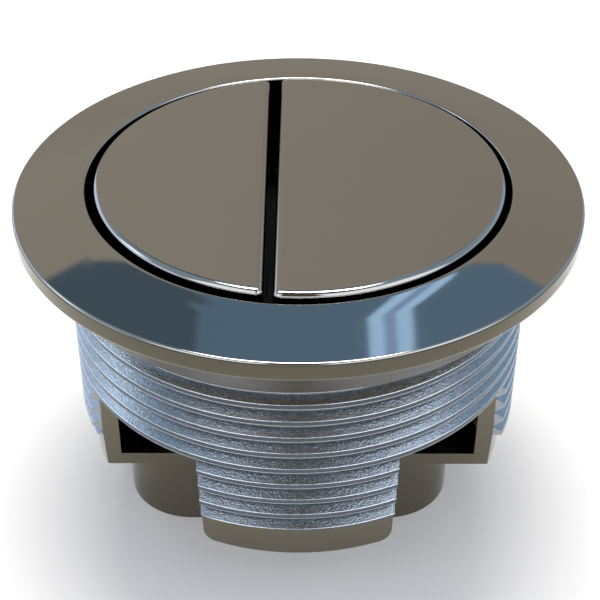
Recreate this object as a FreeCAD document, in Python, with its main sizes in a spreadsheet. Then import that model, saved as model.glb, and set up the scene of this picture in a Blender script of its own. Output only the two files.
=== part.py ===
import FreeCAD, Part
import math
import os

import Sketcher
from FreeCAD import Rotation, Vector

# Dual flush push button for a cistern lid.
#
# One threaded shell carries two sprung buttons. The origin is the centre of the flange's seat, in the
# plane where the flange rests on the lid. +Z points up out of the lid, and -Y is the front.
# All lengths are millimetres.

SIZES = {
    # Thread: one right-handed start with flat crests and roots.
    "thread_radius": 29.75,
    "thread_depth": 1.1,
    "thread_pitch": 2.5,
    "thread_crest_flat": 0.65,
    "thread_length": 23.6,
    "thread_first_root": 1.665,
    "thread_runout": 0.565,
    "thread_overcut": 0.3,
    # Tube wall behind the crests.
    "shell_wall": 2.9,
    # Flange: a shallow crown, an upright rim and a cone that runs in to the seat.
    "flange_overhang": 6.25,
    "flange_height": 7.4,
    "rim_height": 2.15,
    "crown_rise": 1.45,
    "seat_lip": 1.95,
    "flange_edge_round": 0.4,
    # Ring below the flange, and the four legs that hang from it.
    "ring_drop": 14.6,
    "leg_drop": 29.3,
    "leg_step": 0.05,
    "leg_taper": 0.5,
    "leg_draft": 0.3,
    "leg_root_fillet": 1.2,
    "leg_corner_round": 1.5,
    # Cradle: two windowed walls and a floor between the side legs.
    "cradle_bite": 0.8,
    "cradle_wall": 1.5,
    "floor_thickness": 1.9,
    "window_margin": 3.1,
    "window_head": 2.0,
    # Collar below the floor.
    "collar_centre_x": -1.3,
    "collar_half_length": 22.95,
    "collar_half_width": 9.15,
    "collar_wall": 1.4,
    "collar_chamfer": 0.4,
    # Buttons: two D-shaped caps with a slot between them.
    "cap_clearance": 0.8,
    "slot_centre_x": -3.2,
    "slot_width": 1.5,
    "cap_proud": 0.22,
    "cap_height": 9.5,
    "cap_roof": 1.8,
    "cap_wall": 1.6,
    "cap_edge_round": 0.6,
    "cap_boss_wall": 1.7,
    "cap_boss_proud": 0.2,
    "cap_rib_thickness": 1.2,
    "cap_rib_lift": 3.0,
    # Plungers: where the two sliders stand, how far they travel, and their stems.
    "plunger_half_spacing": 11.5,
    "travel": 7.0,
    "cap_room": 1.17,
    "stem_radius": 5.0,
    "stem_land": 1.1,
    "spigot_radius": 3.45,
    "spigot_length": 6.0,
    "spigot_clearance": 0.05,
    "slider_flange_clearance": 0.5,
    "slider_flange_thickness": 1.6,
    "key_half_width": 1.0,
    "key_height": 1.0,
    "key_clearance": 0.15,
    "running_clearance": 0.08,
    # Guide block: a round plate, two spring wells and a guide tube in each.
    "plate_thickness": 2.0,
    "plate_clearance": 0.4,
    "well_clearance": 0.4,
    "well_wall": 1.3,
    "well_floor": 1.6,
    "guide_wall": 1.82,
    "spring_room": 1.8,
    "recess_height": 1.8,
    "well_web_half_width": 4.0,
    "plate_rib_half_thickness": 0.8,
    "plate_rib_depth": 5.0,
    # Return springs.
    "spring_wire_radius": 0.45,
    "spring_turns": 4.5,
    "spring_end_margin": 0.08,
    "spring_seat_gap": 0.02,
    # Stop rings, clips, rods, nuts and feet on the lower end of each stem.
    "bumper_clearance": 0.4,
    "bumper_thickness": 1.2,
    "clip_inset": 0.2,
    "clip_thickness": 0.8,
    "clip_mouth": 5.6,
    "groove_depth": 0.7,
    "groove_clearance": 0.05,
    "rod_radius": 3.0,
    "rod_clearance": 0.05,
    "rod_engagement": 15.0,
    "rod_bore_spare": 2.0,
    "nut_across_flats": 10.0,
    "nut_thickness": 2.5,
    "rod_chamfer": 0.5,
    "foot_radius": 5.0,
    "foot_gap": 0.3,
    "foot_thickness": 3.5,
    "foot_sole": 1.3,
    "foot_chamfer": 0.5,
    "foot_cover": 0.3,
    # Screws that hold the guide block on two bosses of the shell.
    "screw_inset": 3.45,
    "screw_head_radius": 2.7,
    "screw_head_height": 1.4,
    "screw_shank_radius": 1.2,
    "screw_length": 10.0,
    "screw_clearance": 0.05,
    "boss_radius": 3.0,
    "boss_floor": 1.4,
    "boss_web_half_thickness": 1.5,
}

document = FreeCAD.newDocument("push_button")


class Size:
    """A length that carries both its formula over the sheet and its present value."""

    def __init__(self, formula, value):
        self.formula = formula
        self.value = value

    def combine(self, sign, other, value):
        return Size(f"({self.formula} {sign} {formula_of(other)})", value)

    def __add__(self, other):
        return self.combine("+", other, self.value + value_of(other))

    def __sub__(self, other):
        return self.combine("-", other, self.value - value_of(other))

    def __mul__(self, other):
        return self.combine("*", other, self.value * value_of(other))

    def __truediv__(self, other):
        return self.combine("/", other, self.value / value_of(other))

    def __neg__(self):
        return Size(f"(0 - {self.formula})", -self.value)


def formula_of(quantity):
    return quantity.formula if isinstance(quantity, Size) else repr(float(quantity))


def value_of(quantity):
    return quantity.value if isinstance(quantity, Size) else float(quantity)


class SizeSheet:
    """The spreadsheet of driving dimensions; each one is read as an attribute."""

    def __init__(self, sizes):
        self.sheet = document.addObject("Spreadsheet::Sheet", "sizes")
        for row, (alias, value) in enumerate(sizes.items(), start=1):
            self.sheet.set(f"A{row}", alias)
            self.sheet.set(f"B{row}", str(value))
            self.sheet.setAlias(f"B{row}", alias)
        document.recompute()
        for alias in sizes:
            setattr(self, alias, Size(f"sizes.{alias}", float(self.sheet.get(alias))))


s = SizeSheet(SIZES)

# Radii that follow from the thread and the wall behind it.
thread_root_radius = s.thread_radius - s.thread_depth
opening_radius = s.thread_radius - s.shell_wall
seat_radius = s.thread_radius + s.seat_lip
flange_radius = s.thread_radius + s.flange_overhang
leg_radius = thread_root_radius - s.leg_step
cap_radius = opening_radius - s.cap_clearance
window_half_width = opening_radius - s.window_margin
screw_offset = opening_radius - s.screw_inset

# Radii about a plunger, from its stem out to the legs' width.
key_radius = s.stem_radius + s.key_height
guide_bore_radius = s.stem_radius + s.running_clearance
guide_tube_radius = guide_bore_radius + s.guide_wall
well_bore_radius = guide_tube_radius + s.spring_room
spring_radius = (guide_tube_radius + well_bore_radius) / 2
slider_flange_radius = well_bore_radius - s.slider_flange_clearance
well_radius = well_bore_radius + s.well_wall
cradle_half_gap = well_radius + s.well_clearance
leg_tip_half_width = cradle_half_gap + s.cradle_wall
leg_root_half_width = leg_tip_half_width + s.leg_taper

# Radii about a plunger, from the collar's width inwards.
floor_hole_radius = s.collar_half_width - s.collar_wall
bumper_radius = floor_hole_radius - s.bumper_clearance
clip_radius = bumper_radius - s.clip_inset

# Levels above (+) and below (-) the seat: the buttons and the guide plate that they travel towards.
crown_top = s.flange_height + s.crown_rise
cap_top = crown_top + s.cap_proud
cap_bottom = cap_top - s.cap_height
cap_ceiling = cap_top - s.cap_roof
slider_top = cap_bottom - s.cap_boss_proud
flange_underside = slider_top - s.slider_flange_thickness
plate_top = cap_bottom - s.travel - s.cap_room
plate_bottom = plate_top - s.plate_thickness
window_top = plate_bottom - s.window_head

# Levels from the floor of the cradle down the lower end of each plunger.
floor_underside = -s.leg_drop
floor_top = floor_underside + s.floor_thickness
guide_end = floor_top + s.recess_height
well_seat = guide_end + s.well_floor
clip_top = guide_end - s.bumper_thickness
clip_bottom = clip_top - s.clip_thickness
stem_end = clip_bottom - s.stem_land
nut_bottom = stem_end - s.nut_thickness
foot_top = nut_bottom - s.foot_gap
foot_bottom = foot_top - s.foot_thickness
collar_end = foot_bottom - s.travel - s.foot_cover

half_flush_x = s.collar_centre_x - s.plunger_half_spacing
full_flush_x = s.collar_centre_x + s.plunger_half_spacing

# Axial width of a thread flank for each millimetre of its depth.
THREAD_FLANK = 0.68

# The spring wire is swept with this many flats.
WIRE_SIDES = 4

# Half length of a cap's cross rib, as a share of the cap's inner radius.
CROSS_RIB_SHARE = 0.6

PLUNGERS = {"half_flush": half_flush_x, "full_flush": full_flush_x}
CAP_SIDE = {"half_flush": -1, "full_flush": 1}
NEAR = 1e-4


def tie(thing, formulas):
    """Binds properties of a document object to sizes."""
    for path, size in formulas.items():
        thing.setExpression(path, formula_of(size))


def new_body(name):
    return document.addObject("PartDesign::Body", name)


def new_sketch(body, name, plane, level=None):
    """Adds a sketch on one of the body's own origin planes, moved along its normal to a level."""
    sketch = body.newObject("Sketcher::SketchObject", name)
    support = next(item for item in body.Origin.OriginFeatures if item.Role == plane)
    sketch.AttachmentSupport = [(support, "")]
    sketch.MapMode = "FlatFace"
    if level is not None:
        tie(sketch, {"AttachmentOffset.Base.z": level})
    return sketch


def hold(sketch, constraint, size):
    """Adds a dimension to a sketch and ties it to a size."""
    index = sketch.addConstraint(constraint)
    sketch.setExpression(f"Constraints[{index}]", formula_of(size))


def hold_point(sketch, line, end, across, up):
    """Fixes one end of a line by its distances from the sketch's origin."""
    hold(sketch, Sketcher.Constraint("DistanceX", -1, 1, line, end, value_of(across)), across)
    hold(sketch, Sketcher.Constraint("DistanceY", -1, 1, line, end, value_of(up)), up)


def polygon(sketch, corners):
    """Draws a closed outline. A corner is two sizes, and a third one is the radius that rounds it."""
    count = len(corners)
    points = [Vector(value_of(corner[0]), value_of(corner[1]), 0) for corner in corners]
    cuts = [corner_cut(points, index, corner) for index, corner in enumerate(corners)]
    lines = []
    for index in range(count):
        following = (index + 1) % count
        lines.append(sketch.addGeometry(Part.LineSegment(cuts[index][1], cuts[following][0])))
    for index, corner in enumerate(corners):
        before, after = lines[index - 1], lines[index]
        if len(corner) == 2:
            sketch.addConstraint(Sketcher.Constraint("Coincident", before, 2, after, 1))
            hold_point(sketch, after, 1, *corner)
        else:
            round_corner(sketch, before, after, points[index], cuts[index], corner)


def corner_cut(points, index, corner):
    """Finds where a corner's rounding starts and ends; both are the corner itself if it is sharp."""
    here = points[index]
    if len(corner) == 2:
        return here, here
    back = (points[index - 1] - here).normalize()
    ahead = (points[(index + 1) % len(points)] - here).normalize()
    reach = value_of(corner[2]) / math.tan(back.getAngle(ahead) / 2)
    return here + back * reach, here + ahead * reach


def round_corner(sketch, before, after, here, cut, corner):
    """Joins two lines by an arc that touches both, about a corner point that stays where it was."""
    across, up, radius = corner
    start, end = cut
    middle = (start + end) / 2 - here
    half_chord = (end - start).Length / 2
    depth = half_chord**2 / middle.Length
    centre = here + middle.normalize() * (middle.Length + depth)
    turns_left = (start - here).cross(end - here).z < 0
    first, last = (start, end) if turns_left else (end, start)
    angles = [math.atan2(point.y - centre.y, point.x - centre.x) for point in (first, last)]
    if angles[1] < angles[0]:
        angles[1] += 2 * math.pi
    disc = Part.Circle(centre, Vector(0, 0, 1), radius.value)
    arc = sketch.addGeometry(Part.ArcOfCircle(disc, *angles))
    near_before, near_after = (1, 2) if turns_left else (2, 1)
    sketch.addConstraint(Sketcher.Constraint("Tangent", before, 2, arc, near_before))
    sketch.addConstraint(Sketcher.Constraint("Tangent", arc, near_after, after, 1))
    point = sketch.addGeometry(Part.Point(here), True)
    sketch.addConstraint(Sketcher.Constraint("PointOnObject", point, 1, before))
    sketch.addConstraint(Sketcher.Constraint("PointOnObject", point, 1, after))
    hold_point(sketch, point, 1, across, up)
    hold(sketch, Sketcher.Constraint("Radius", arc, radius.value), radius)


def rectangle(sketch, left, right, low, high):
    polygon(sketch, [(left, low), (right, low), (right, high), (left, high)])


def circle(sketch, across, up, radius):
    centre = Vector(value_of(across), value_of(up), 0)
    index = sketch.addGeometry(Part.Circle(centre, Vector(0, 0, 1), value_of(radius)))
    hold_point(sketch, index, 3, across, up)
    hold(sketch, Sketcher.Constraint("Radius", index, value_of(radius)), radius)


def obround(sketch, centre, half_length, radius):
    """Draws a slot shape along X: two half circles joined by straight sides."""
    ends = [centre + half_length - radius, centre - half_length + radius]
    arcs = []
    for end, start in zip(ends, (-math.pi / 2, math.pi / 2)):
        round_end = Part.Circle(Vector(end.value, 0, 0), Vector(0, 0, 1), radius.value)
        arcs.append(sketch.addGeometry(Part.ArcOfCircle(round_end, start, start + math.pi)))
    for this, that in ((0, 1), (1, 0)):
        height = radius.value if this == 0 else -radius.value
        side = Part.LineSegment(Vector(ends[this].value, height, 0), Vector(ends[that].value, height, 0))
        line = sketch.addGeometry(side)
        sketch.addConstraint(Sketcher.Constraint("Tangent", arcs[this], 2, line, 1))
        sketch.addConstraint(Sketcher.Constraint("Tangent", line, 2, arcs[that], 1))
    for arc, end in zip(arcs, ends):
        hold_point(sketch, arc, 3, end, Size("0", 0.0))
    hold(sketch, Sketcher.Constraint("Radius", arcs[0], radius.value), radius)


def half_disc(sketch, radius, chord, side):
    """Draws a D: the part of a disc that lies beyond a chord parallel to Y, on the given side."""
    reach = math.sqrt(radius.value**2 - chord.value**2)
    angle = math.atan2(reach, chord.value)
    turn = (-angle, angle) if side > 0 else (angle, 2 * math.pi - angle)
    disc = Part.Circle(Vector(0, 0, 0), Vector(0, 0, 1), radius.value)
    arc = sketch.addGeometry(Part.ArcOfCircle(disc, *turn))
    low = Vector(chord.value, -reach, 0)
    high = Vector(chord.value, reach, 0)
    ends = (high, low) if side > 0 else (low, high)
    line = sketch.addGeometry(Part.LineSegment(*ends))
    sketch.addConstraint(Sketcher.Constraint("Coincident", arc, 3, -1, 1))
    sketch.addConstraint(Sketcher.Constraint("Coincident", arc, 2, line, 1))
    sketch.addConstraint(Sketcher.Constraint("Coincident", line, 2, arc, 1))
    sketch.addConstraint(Sketcher.Constraint("Vertical", line))
    hold(sketch, Sketcher.Constraint("Radius", arc, radius.value), radius)
    hold(sketch, Sketcher.Constraint("DistanceX", -1, 1, line, 1, chord.value), chord)


def pad(body, name, sketch, length, down=False, both_ways=False):
    feature = body.newObject("PartDesign::Pad", name)
    feature.Profile = sketch
    feature.Reversed = down
    feature.Midplane = both_ways
    tie(feature, {"Length": length})
    return feature


def pocket(body, name, sketch, depth=None, up=False, both_ways=False):
    """Cuts a sketch's outline down to a depth, or right through the body where no depth is given."""
    feature = body.newObject("PartDesign::Pocket", name)
    feature.Profile = sketch
    feature.Reversed = up
    feature.Midplane = both_ways
    if depth is None:
        feature.Type = "ThroughAll"
    else:
        tie(feature, {"Length": depth})
    return feature


def revolve(body, name, sketch):
    feature = body.newObject("PartDesign::Revolution", name)
    feature.Profile = sketch
    feature.ReferenceAxis = (sketch, ["V_Axis"])
    feature.Angle = 360
    return feature


def edges_where(feature, wanted):
    """Names the edges of a feature's shape that pass a test."""
    document.recompute()
    return [f"Edge{number}" for number, edge in enumerate(feature.Shape.Edges, 1) if wanted(edge)]


def fillet(body, name, feature, radius, wanted):
    rounding = body.newObject("PartDesign::Fillet", name)
    rounding.Base = (feature, edges_where(feature, wanted))
    tie(rounding, {"Radius": radius})
    return rounding


def chamfer(body, name, feature, size, wanted):
    bevel = body.newObject("PartDesign::Chamfer", name)
    bevel.Base = (feature, edges_where(feature, wanted))
    tie(bevel, {"Size": size})
    return bevel


def is_circle(edge, radius, level):
    """True for a whole or part circle about a vertical axis, with this radius, at this level."""
    curve = edge.Curve
    if not isinstance(curve, Part.Circle):
        return False
    return abs(curve.Radius - radius.value) < NEAR and abs(curve.Center.z - level.value) < NEAR


def lies_at(edge, level):
    """True for an edge that lies flat at a level."""
    box = edge.BoundBox
    return abs(box.ZMin - level.value) < NEAR and abs(box.ZMax - level.value) < NEAR


def join(kind, name, members):
    """Adds a fuse, common or cut of finished shapes."""
    feature = document.addObject(kind, name)
    if kind == "Part::MultiFuse":
        feature.Shapes = members
    else:
        feature.Base, feature.Tool = members
    feature.Refine = True
    return feature


def flanged_tube():
    """The turned form of the shell: flange, seat and a plain tube."""
    body = new_body("flanged_tube")
    profile = new_sketch(body, "shell_profile", "XZ_Plane")
    edge = s.flange_edge_round
    polygon(
        profile,
        [
            (opening_radius, crown_top, edge),
            (flange_radius, s.flange_height, edge),
            (flange_radius, s.flange_height - s.rim_height, edge),
            (seat_radius, 0),
            (s.thread_radius, 0),
            (s.thread_radius, -s.thread_length),
            (leg_radius, -s.thread_length),
            (leg_radius - s.leg_draft, -s.leg_drop),
            (opening_radius, -s.leg_drop),
        ],
    )
    revolve(body, "shell_turning", profile)
    return body


def thread_tool():
    """The helical groove between the thread's crests, as a solid that is cut from the shell."""
    body = new_body("thread_tool")
    groove = new_sketch(body, "thread_groove", "XZ_Plane")
    outer_radius = s.thread_radius + s.thread_overcut
    root_half = (s.thread_pitch - s.thread_crest_flat) / 2 - s.thread_depth * THREAD_FLANK
    mouth_half = root_half + (s.thread_depth + s.thread_overcut) * THREAD_FLANK
    lowest = -s.thread_length - s.thread_runout
    polygon(
        groove,
        [
            (thread_root_radius, lowest - root_half),
            (outer_radius, lowest - mouth_half),
            (outer_radius, lowest + mouth_half),
            (thread_root_radius, lowest + root_half),
        ],
    )
    helix = body.newObject("PartDesign::AdditiveHelix", "thread_helix")
    helix.Profile = groove
    helix.ReferenceAxis = (groove, ["V_Axis"])
    helix.Mode = "pitch-height-angle"
    tie(helix, {"Pitch": s.thread_pitch, "Height": -s.thread_first_root - lowest})
    return body


def leg_mask(name, plane, round_corners):
    """A T-shaped prism: its head keeps the ring, and its stem keeps two opposite legs."""
    body = new_body(name)
    outline = new_sketch(body, f"{name}_outline", plane)
    head = flange_radius + s.thread_overcut
    top = crown_top + s.thread_overcut
    polygon(
        outline,
        [
            (-head, top),
            (-head, -s.ring_drop),
            (-leg_root_half_width, -s.ring_drop),
            (-leg_tip_half_width, -s.leg_drop),
            (leg_tip_half_width, -s.leg_drop),
            (leg_root_half_width, -s.ring_drop),
            (head, -s.ring_drop),
            (head, top),
        ],
    )
    prism = pad(body, f"{name}_prism", outline, head * 2, both_ways=True)

    def runs_along(edge, level, half_width):
        box = edge.BoundBox
        across = box.XMax if plane == "XZ_Plane" else box.YMax
        reach = box.YLength if plane == "XZ_Plane" else box.XLength
        if reach < head.value:
            return False
        return lies_at(edge, level) and abs(abs(across) - half_width.value) < NEAR

    rooted = fillet(
        body,
        f"{name}_roots",
        prism,
        s.leg_root_fillet,
        lambda edge: runs_along(edge, -s.ring_drop, leg_root_half_width),
    )
    if round_corners:
        fillet(
            body,
            f"{name}_corners",
            rooted,
            s.leg_corner_round,
            lambda edge: runs_along(edge, -s.leg_drop, leg_tip_half_width),
        )
    return body


def cradle():
    """Two windowed walls and a floor between the side legs, with the collar below."""
    body = new_body("cradle")
    outline = new_sketch(body, "cradle_outline", "YZ_Plane")
    polygon(
        outline,
        [
            (-leg_root_half_width, -s.ring_drop),
            (-leg_tip_half_width, -s.leg_drop),
            (leg_tip_half_width, -s.leg_drop),
            (leg_root_half_width, -s.ring_drop),
            (leg_root_half_width, plate_bottom),
            (-leg_root_half_width, plate_bottom),
        ],
    )
    pad(body, "cradle_block", outline, flange_radius * 2, both_ways=True)
    trim = new_sketch(body, "cradle_trim", "XY_Plane", plate_bottom)
    circle(trim, 0, 0, opening_radius + s.cradle_bite)
    circle(trim, 0, 0, flange_radius * 2)
    pocket(body, "cradle_trimming", trim)
    hollow = new_sketch(body, "cradle_hollow", "XY_Plane", plate_bottom)
    rectangle(hollow, -flange_radius, flange_radius, -cradle_half_gap, cradle_half_gap)
    pocket(body, "cradle_hollowing", hollow, plate_bottom - floor_top)
    window = new_sketch(body, "window_outline", "XZ_Plane")
    rectangle(window, -window_half_width, window_half_width, floor_top, window_top)
    pocket(body, "windows", window, flange_radius * 2, both_ways=True)
    collar = new_sketch(body, "collar_outline", "XY_Plane", floor_underside)
    obround(collar, s.collar_centre_x, s.collar_half_length, s.collar_half_width)
    pad(body, "collar_block", collar, floor_underside - collar_end, down=True)
    bore = new_sketch(body, "collar_bore_outline", "XY_Plane", floor_underside)
    obround(bore, s.collar_centre_x, s.collar_half_length - s.collar_wall, floor_hole_radius)
    bored = pocket(body, "collar_bore", bore, floor_underside - collar_end)
    chamfer(body, "collar_edges", bored, s.collar_chamfer, lambda edge: lies_at(edge, collar_end))
    holes = new_sketch(body, "floor_hole_outline", "XY_Plane", floor_top)
    for centre in PLUNGERS.values():
        circle(holes, centre, 0, floor_hole_radius)
    pocket(body, "floor_holes", holes, s.floor_thickness)
    return body


def screw_boss(name, side):
    """A boss for a guide block screw, webbed to the inside of the front or rear leg."""
    body = new_body(name)
    column = new_sketch(body, f"{name}_column", "XY_Plane", plate_bottom)
    circle(column, 0, screw_offset * side, s.boss_radius)
    length = s.screw_length + s.boss_floor
    pad(body, f"{name}_body", column, length, down=True)
    web = new_sketch(body, f"{name}_web_outline", "XY_Plane", plate_bottom)
    edges = sorted([screw_offset * side, (opening_radius + s.cradle_bite) * side], key=value_of)
    rectangle(web, -s.boss_web_half_thickness, s.boss_web_half_thickness, *edges)
    pad(body, f"{name}_web", web, length, down=True)
    return body


def threaded_shell():
    """The one-piece shell: flange, thread, legs, cradle, collar and screw bosses."""
    front_rear = leg_mask("front_rear_mask", "XZ_Plane", round_corners=True)
    masks = [front_rear, leg_mask("side_mask", "YZ_Plane", round_corners=False)]
    mask = join("Part::MultiFuse", "leg_masks", masks)
    wall = join("Part::Common", "legged_wall", [flanged_tube(), mask])
    bosses = [screw_boss("front_boss", -1), screw_boss("rear_boss", 1)]
    whole = join("Part::MultiFuse", "undrilled_shell", [wall, cradle(), *bosses])
    pilots = []
    for name, side in (("front_pilot", -1), ("rear_pilot", 1)):
        pilot = document.addObject("Part::Cylinder", name)
        tie(
            pilot,
            {
                "Radius": s.screw_shank_radius + s.screw_clearance,
                "Height": s.screw_length,
                "Placement.Base.y": screw_offset * side,
                "Placement.Base.z": plate_bottom - s.screw_length,
            },
        )
        pilots.append(pilot)
    drill = join("Part::MultiFuse", "pilot_drill", pilots)
    smooth = join("Part::Cut", "smooth_shell", [whole, drill])
    return join("Part::Cut", "threaded_shell", [smooth, thread_tool()])


def button_cap(name, side, plunger_x):
    """A D-shaped cap: a rounded roof and skirt, with a ribbed boss for the slider's spigot."""
    body = new_body(f"{name}_cap")
    chord = s.slot_centre_x + s.slot_width / 2 * side
    outline = new_sketch(body, "cap_outline", "XY_Plane", cap_top)
    half_disc(outline, cap_radius, chord, side)
    block = pad(body, "cap_block", outline, s.cap_height, down=True)
    fillet(body, "cap_edges", block, s.cap_edge_round, lambda edge: lies_at(edge, cap_top))
    inside = new_sketch(body, "cap_inside", "XY_Plane", cap_ceiling)
    half_disc(inside, cap_radius - s.cap_wall, chord + s.cap_wall * side, side)
    pocket(body, "cap_hollow", inside, s.cap_height)
    ribs = new_sketch(body, "cap_rib_outline", "XY_Plane", cap_ceiling)
    half = s.cap_rib_thickness / 2
    reach = cap_radius - s.cap_wall
    far = (cap_radius - s.cap_wall / 2) * side
    near = chord + s.cap_wall / 2 * side
    ends = sorted([near, far], key=value_of)
    rectangle(ribs, ends[0], ends[1], -half, half)
    pad(body, "cap_long_rib", ribs, s.cap_height - s.cap_roof - s.cap_rib_lift, down=True)
    cross = new_sketch(body, "cap_cross_rib_outline", "XY_Plane", cap_ceiling)
    span = reach * CROSS_RIB_SHARE
    rectangle(cross, plunger_x - half, plunger_x + half, -span, span)
    pad(body, "cap_cross_rib", cross, s.cap_height - s.cap_roof - s.cap_rib_lift, down=True)
    boss = new_sketch(body, "cap_boss_outline", "XY_Plane", cap_ceiling)
    circle(boss, plunger_x, 0, s.spigot_radius + s.spigot_clearance + s.cap_boss_wall)
    pad(body, "cap_boss", boss, cap_ceiling - slider_top, down=True)
    socket = new_sketch(body, "cap_socket_outline", "XY_Plane", slider_top)
    circle(socket, plunger_x, 0, s.spigot_radius + s.spigot_clearance)
    pocket(body, "cap_socket", socket, s.spigot_length + s.cap_boss_proud, up=True)
    return body


def slider(name, plunger_x):
    """A turned stem with a spigot, a spring flange, a clip groove and two keys."""
    body = new_body(f"{name}_slider")
    groove_top = clip_top + s.groove_clearance
    groove_bottom = clip_bottom - s.groove_clearance
    bore_radius = s.rod_radius + s.rod_clearance
    bore_top = stem_end + s.rod_engagement + s.rod_bore_spare
    profile = new_sketch(body, "slider_profile", "XZ_Plane")
    polygon(
        profile,
        [
            (0, slider_top + s.spigot_length),
            (s.spigot_radius, slider_top + s.spigot_length),
            (s.spigot_radius, slider_top),
            (slider_flange_radius, slider_top),
            (slider_flange_radius, flange_underside),
            (s.stem_radius, flange_underside),
            (s.stem_radius, groove_top),
            (s.stem_radius - s.groove_depth, groove_top),
            (s.stem_radius - s.groove_depth, groove_bottom),
            (s.stem_radius, groove_bottom),
            (s.stem_radius, stem_end),
            (bore_radius, stem_end),
            (bore_radius, bore_top),
            (0, bore_top),
        ],
    )
    revolve(body, "slider_turning", profile)
    keys = new_sketch(body, "key_outline", "XY_Plane", flange_underside)
    middle = (s.stem_radius + bore_radius) / 2
    for low, high in ((-key_radius, -middle), (middle, key_radius)):
        rectangle(keys, -s.key_half_width, s.key_half_width, low, high)
    pad(body, "keys", keys, flange_underside - guide_end - s.key_clearance, down=True)
    tie(body, {"Placement.Base.x": plunger_x})
    return body


def guide_block():
    """The black carrier: a round plate, two spring wells and a keyed guide tube in each well."""
    body = new_body("guide_block")
    plate = new_sketch(body, "plate_outline", "XY_Plane", plate_bottom)
    circle(plate, 0, 0, opening_radius - s.plate_clearance)
    pad(body, "plate", plate, s.plate_thickness)
    wells = new_sketch(body, "well_outline", "XY_Plane", plate_bottom)
    for centre in PLUNGERS.values():
        circle(wells, centre, 0, well_radius)
    pad(body, "wells", wells, plate_bottom - floor_top, down=True)
    web = new_sketch(body, "well_web_outline", "XY_Plane", plate_bottom)
    rectangle(web, half_flush_x, full_flush_x, -s.well_web_half_width, s.well_web_half_width)
    pad(body, "well_web", web, plate_bottom - floor_top, down=True)
    ribs = new_sketch(body, "plate_rib_outline", "XY_Plane", plate_bottom)
    thin = s.plate_rib_half_thickness
    for centre in PLUNGERS.values():
        rectangle(ribs, centre - thin, centre + thin, -cradle_half_gap + s.plate_clearance,
                  cradle_half_gap - s.plate_clearance)
    pad(body, "plate_ribs", ribs, s.plate_rib_depth, down=True)
    bores = new_sketch(body, "well_bore_outline", "XY_Plane", plate_top)
    for centre in PLUNGERS.values():
        circle(bores, centre, 0, well_bore_radius)
    pocket(body, "well_bores", bores, plate_top - well_seat)
    recess = new_sketch(body, "clip_recess_outline", "XY_Plane", guide_end)
    for centre in PLUNGERS.values():
        circle(recess, centre, 0, well_bore_radius)
    pocket(body, "clip_recess", recess, guide_end - floor_top)
    tubes = new_sketch(body, "guide_tube_outline", "XY_Plane", well_seat)
    for centre in PLUNGERS.values():
        circle(tubes, centre, 0, guide_tube_radius)
    pad(body, "guide_tubes", tubes, plate_bottom - well_seat)
    guides = new_sketch(body, "guide_bore_outline", "XY_Plane", plate_top)
    for centre in PLUNGERS.values():
        circle(guides, centre, 0, guide_bore_radius)
    pocket(body, "guide_bores", guides)
    keyways = new_sketch(body, "keyway_outline", "XY_Plane", plate_top)
    key_half = s.key_half_width + s.key_clearance
    key_reach = key_radius + s.key_clearance
    for centre in PLUNGERS.values():
        rectangle(keyways, centre - key_half, centre + key_half, -key_reach, key_reach)
    pocket(body, "keyways", keyways)
    holes = new_sketch(body, "screw_hole_outline", "XY_Plane", plate_top)
    for side in (-1, 1):
        circle(holes, 0, screw_offset * side, s.screw_shank_radius + s.screw_clearance)
    pocket(body, "screw_holes", holes, s.plate_thickness)
    for side, where in ((-1, "front"), (1, "rear")):
        countersink = body.newObject("PartDesign::SubtractiveCone", f"{where}_countersink")
        tie(
            countersink,
            {
                "Radius1": s.screw_shank_radius + s.screw_clearance,
                "Radius2": s.screw_head_radius + s.screw_clearance,
                "Height": s.screw_head_height,
                "Placement.Base.y": screw_offset * side,
                "Placement.Base.z": plate_top - s.screw_head_height,
            },
        )
    return body


def guide_screw(name, side):
    """A countersunk self-tapping screw."""
    body = new_body(name)
    profile = new_sketch(body, "screw_profile", "XZ_Plane")
    tip_radius = s.screw_shank_radius / 2
    polygon(
        profile,
        [
            (0, plate_top),
            (s.screw_head_radius, plate_top),
            (s.screw_head_radius, plate_top - s.screw_clearance),
            (s.screw_shank_radius, plate_top - s.screw_head_height),
            (s.screw_shank_radius, plate_top - s.screw_length + s.screw_shank_radius),
            (tip_radius, plate_top - s.screw_length),
            (0, plate_top - s.screw_length),
        ],
    )
    revolve(body, "screw_turning", profile)
    tie(body, {"Placement.Base.y": screw_offset * side})
    return body


def return_spring(name, plunger_x):
    """A coil spring with ground end rings, between the well and the slider's flange."""
    low = well_seat + s.spring_seat_gap
    high = flange_underside - s.spring_seat_gap
    thickness = s.spring_wire_radius * 2
    coil = document.addObject("Part::Helix", f"{name}_coil_path")
    tie(
        coil,
        {
            "Radius": spring_radius,
            "Height": high - low - thickness,
            "Pitch": (high - low - thickness) / s.spring_turns,
            "Placement.Base.z": low + s.spring_wire_radius,
        },
    )
    wire = document.addObject("Part::RegularPolygon", f"{name}_wire")
    wire.Polygon = WIRE_SIDES
    tie(
        wire,
        {
            "Circumradius": s.spring_wire_radius,
            "Placement.Base.x": spring_radius,
            "Placement.Base.z": low + s.spring_wire_radius,
        },
    )
    wire.Placement.Rotation = Rotation(Vector(1, 0, 0), 90)
    sweep = document.addObject("Part::Sweep", f"{name}_coil")
    sweep.Sections = [wire]
    sweep.Spine = (coil, [])
    sweep.Solid = True
    sweep.Frenet = True
    inner = spring_radius - s.spring_wire_radius - s.spring_end_margin
    outer = spring_radius + s.spring_wire_radius + s.spring_end_margin
    rings = [
        turned_ring(f"{name}_lower_end", inner, outer, low, low + thickness, Size("0", 0.0)),
        turned_ring(f"{name}_upper_end", inner, outer, high - thickness, high, Size("0", 0.0)),
    ]
    spring = join("Part::MultiFuse", f"{name}_spring", [sweep, *rings])
    tie(spring, {"Placement.Base.x": plunger_x})
    return spring


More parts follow.
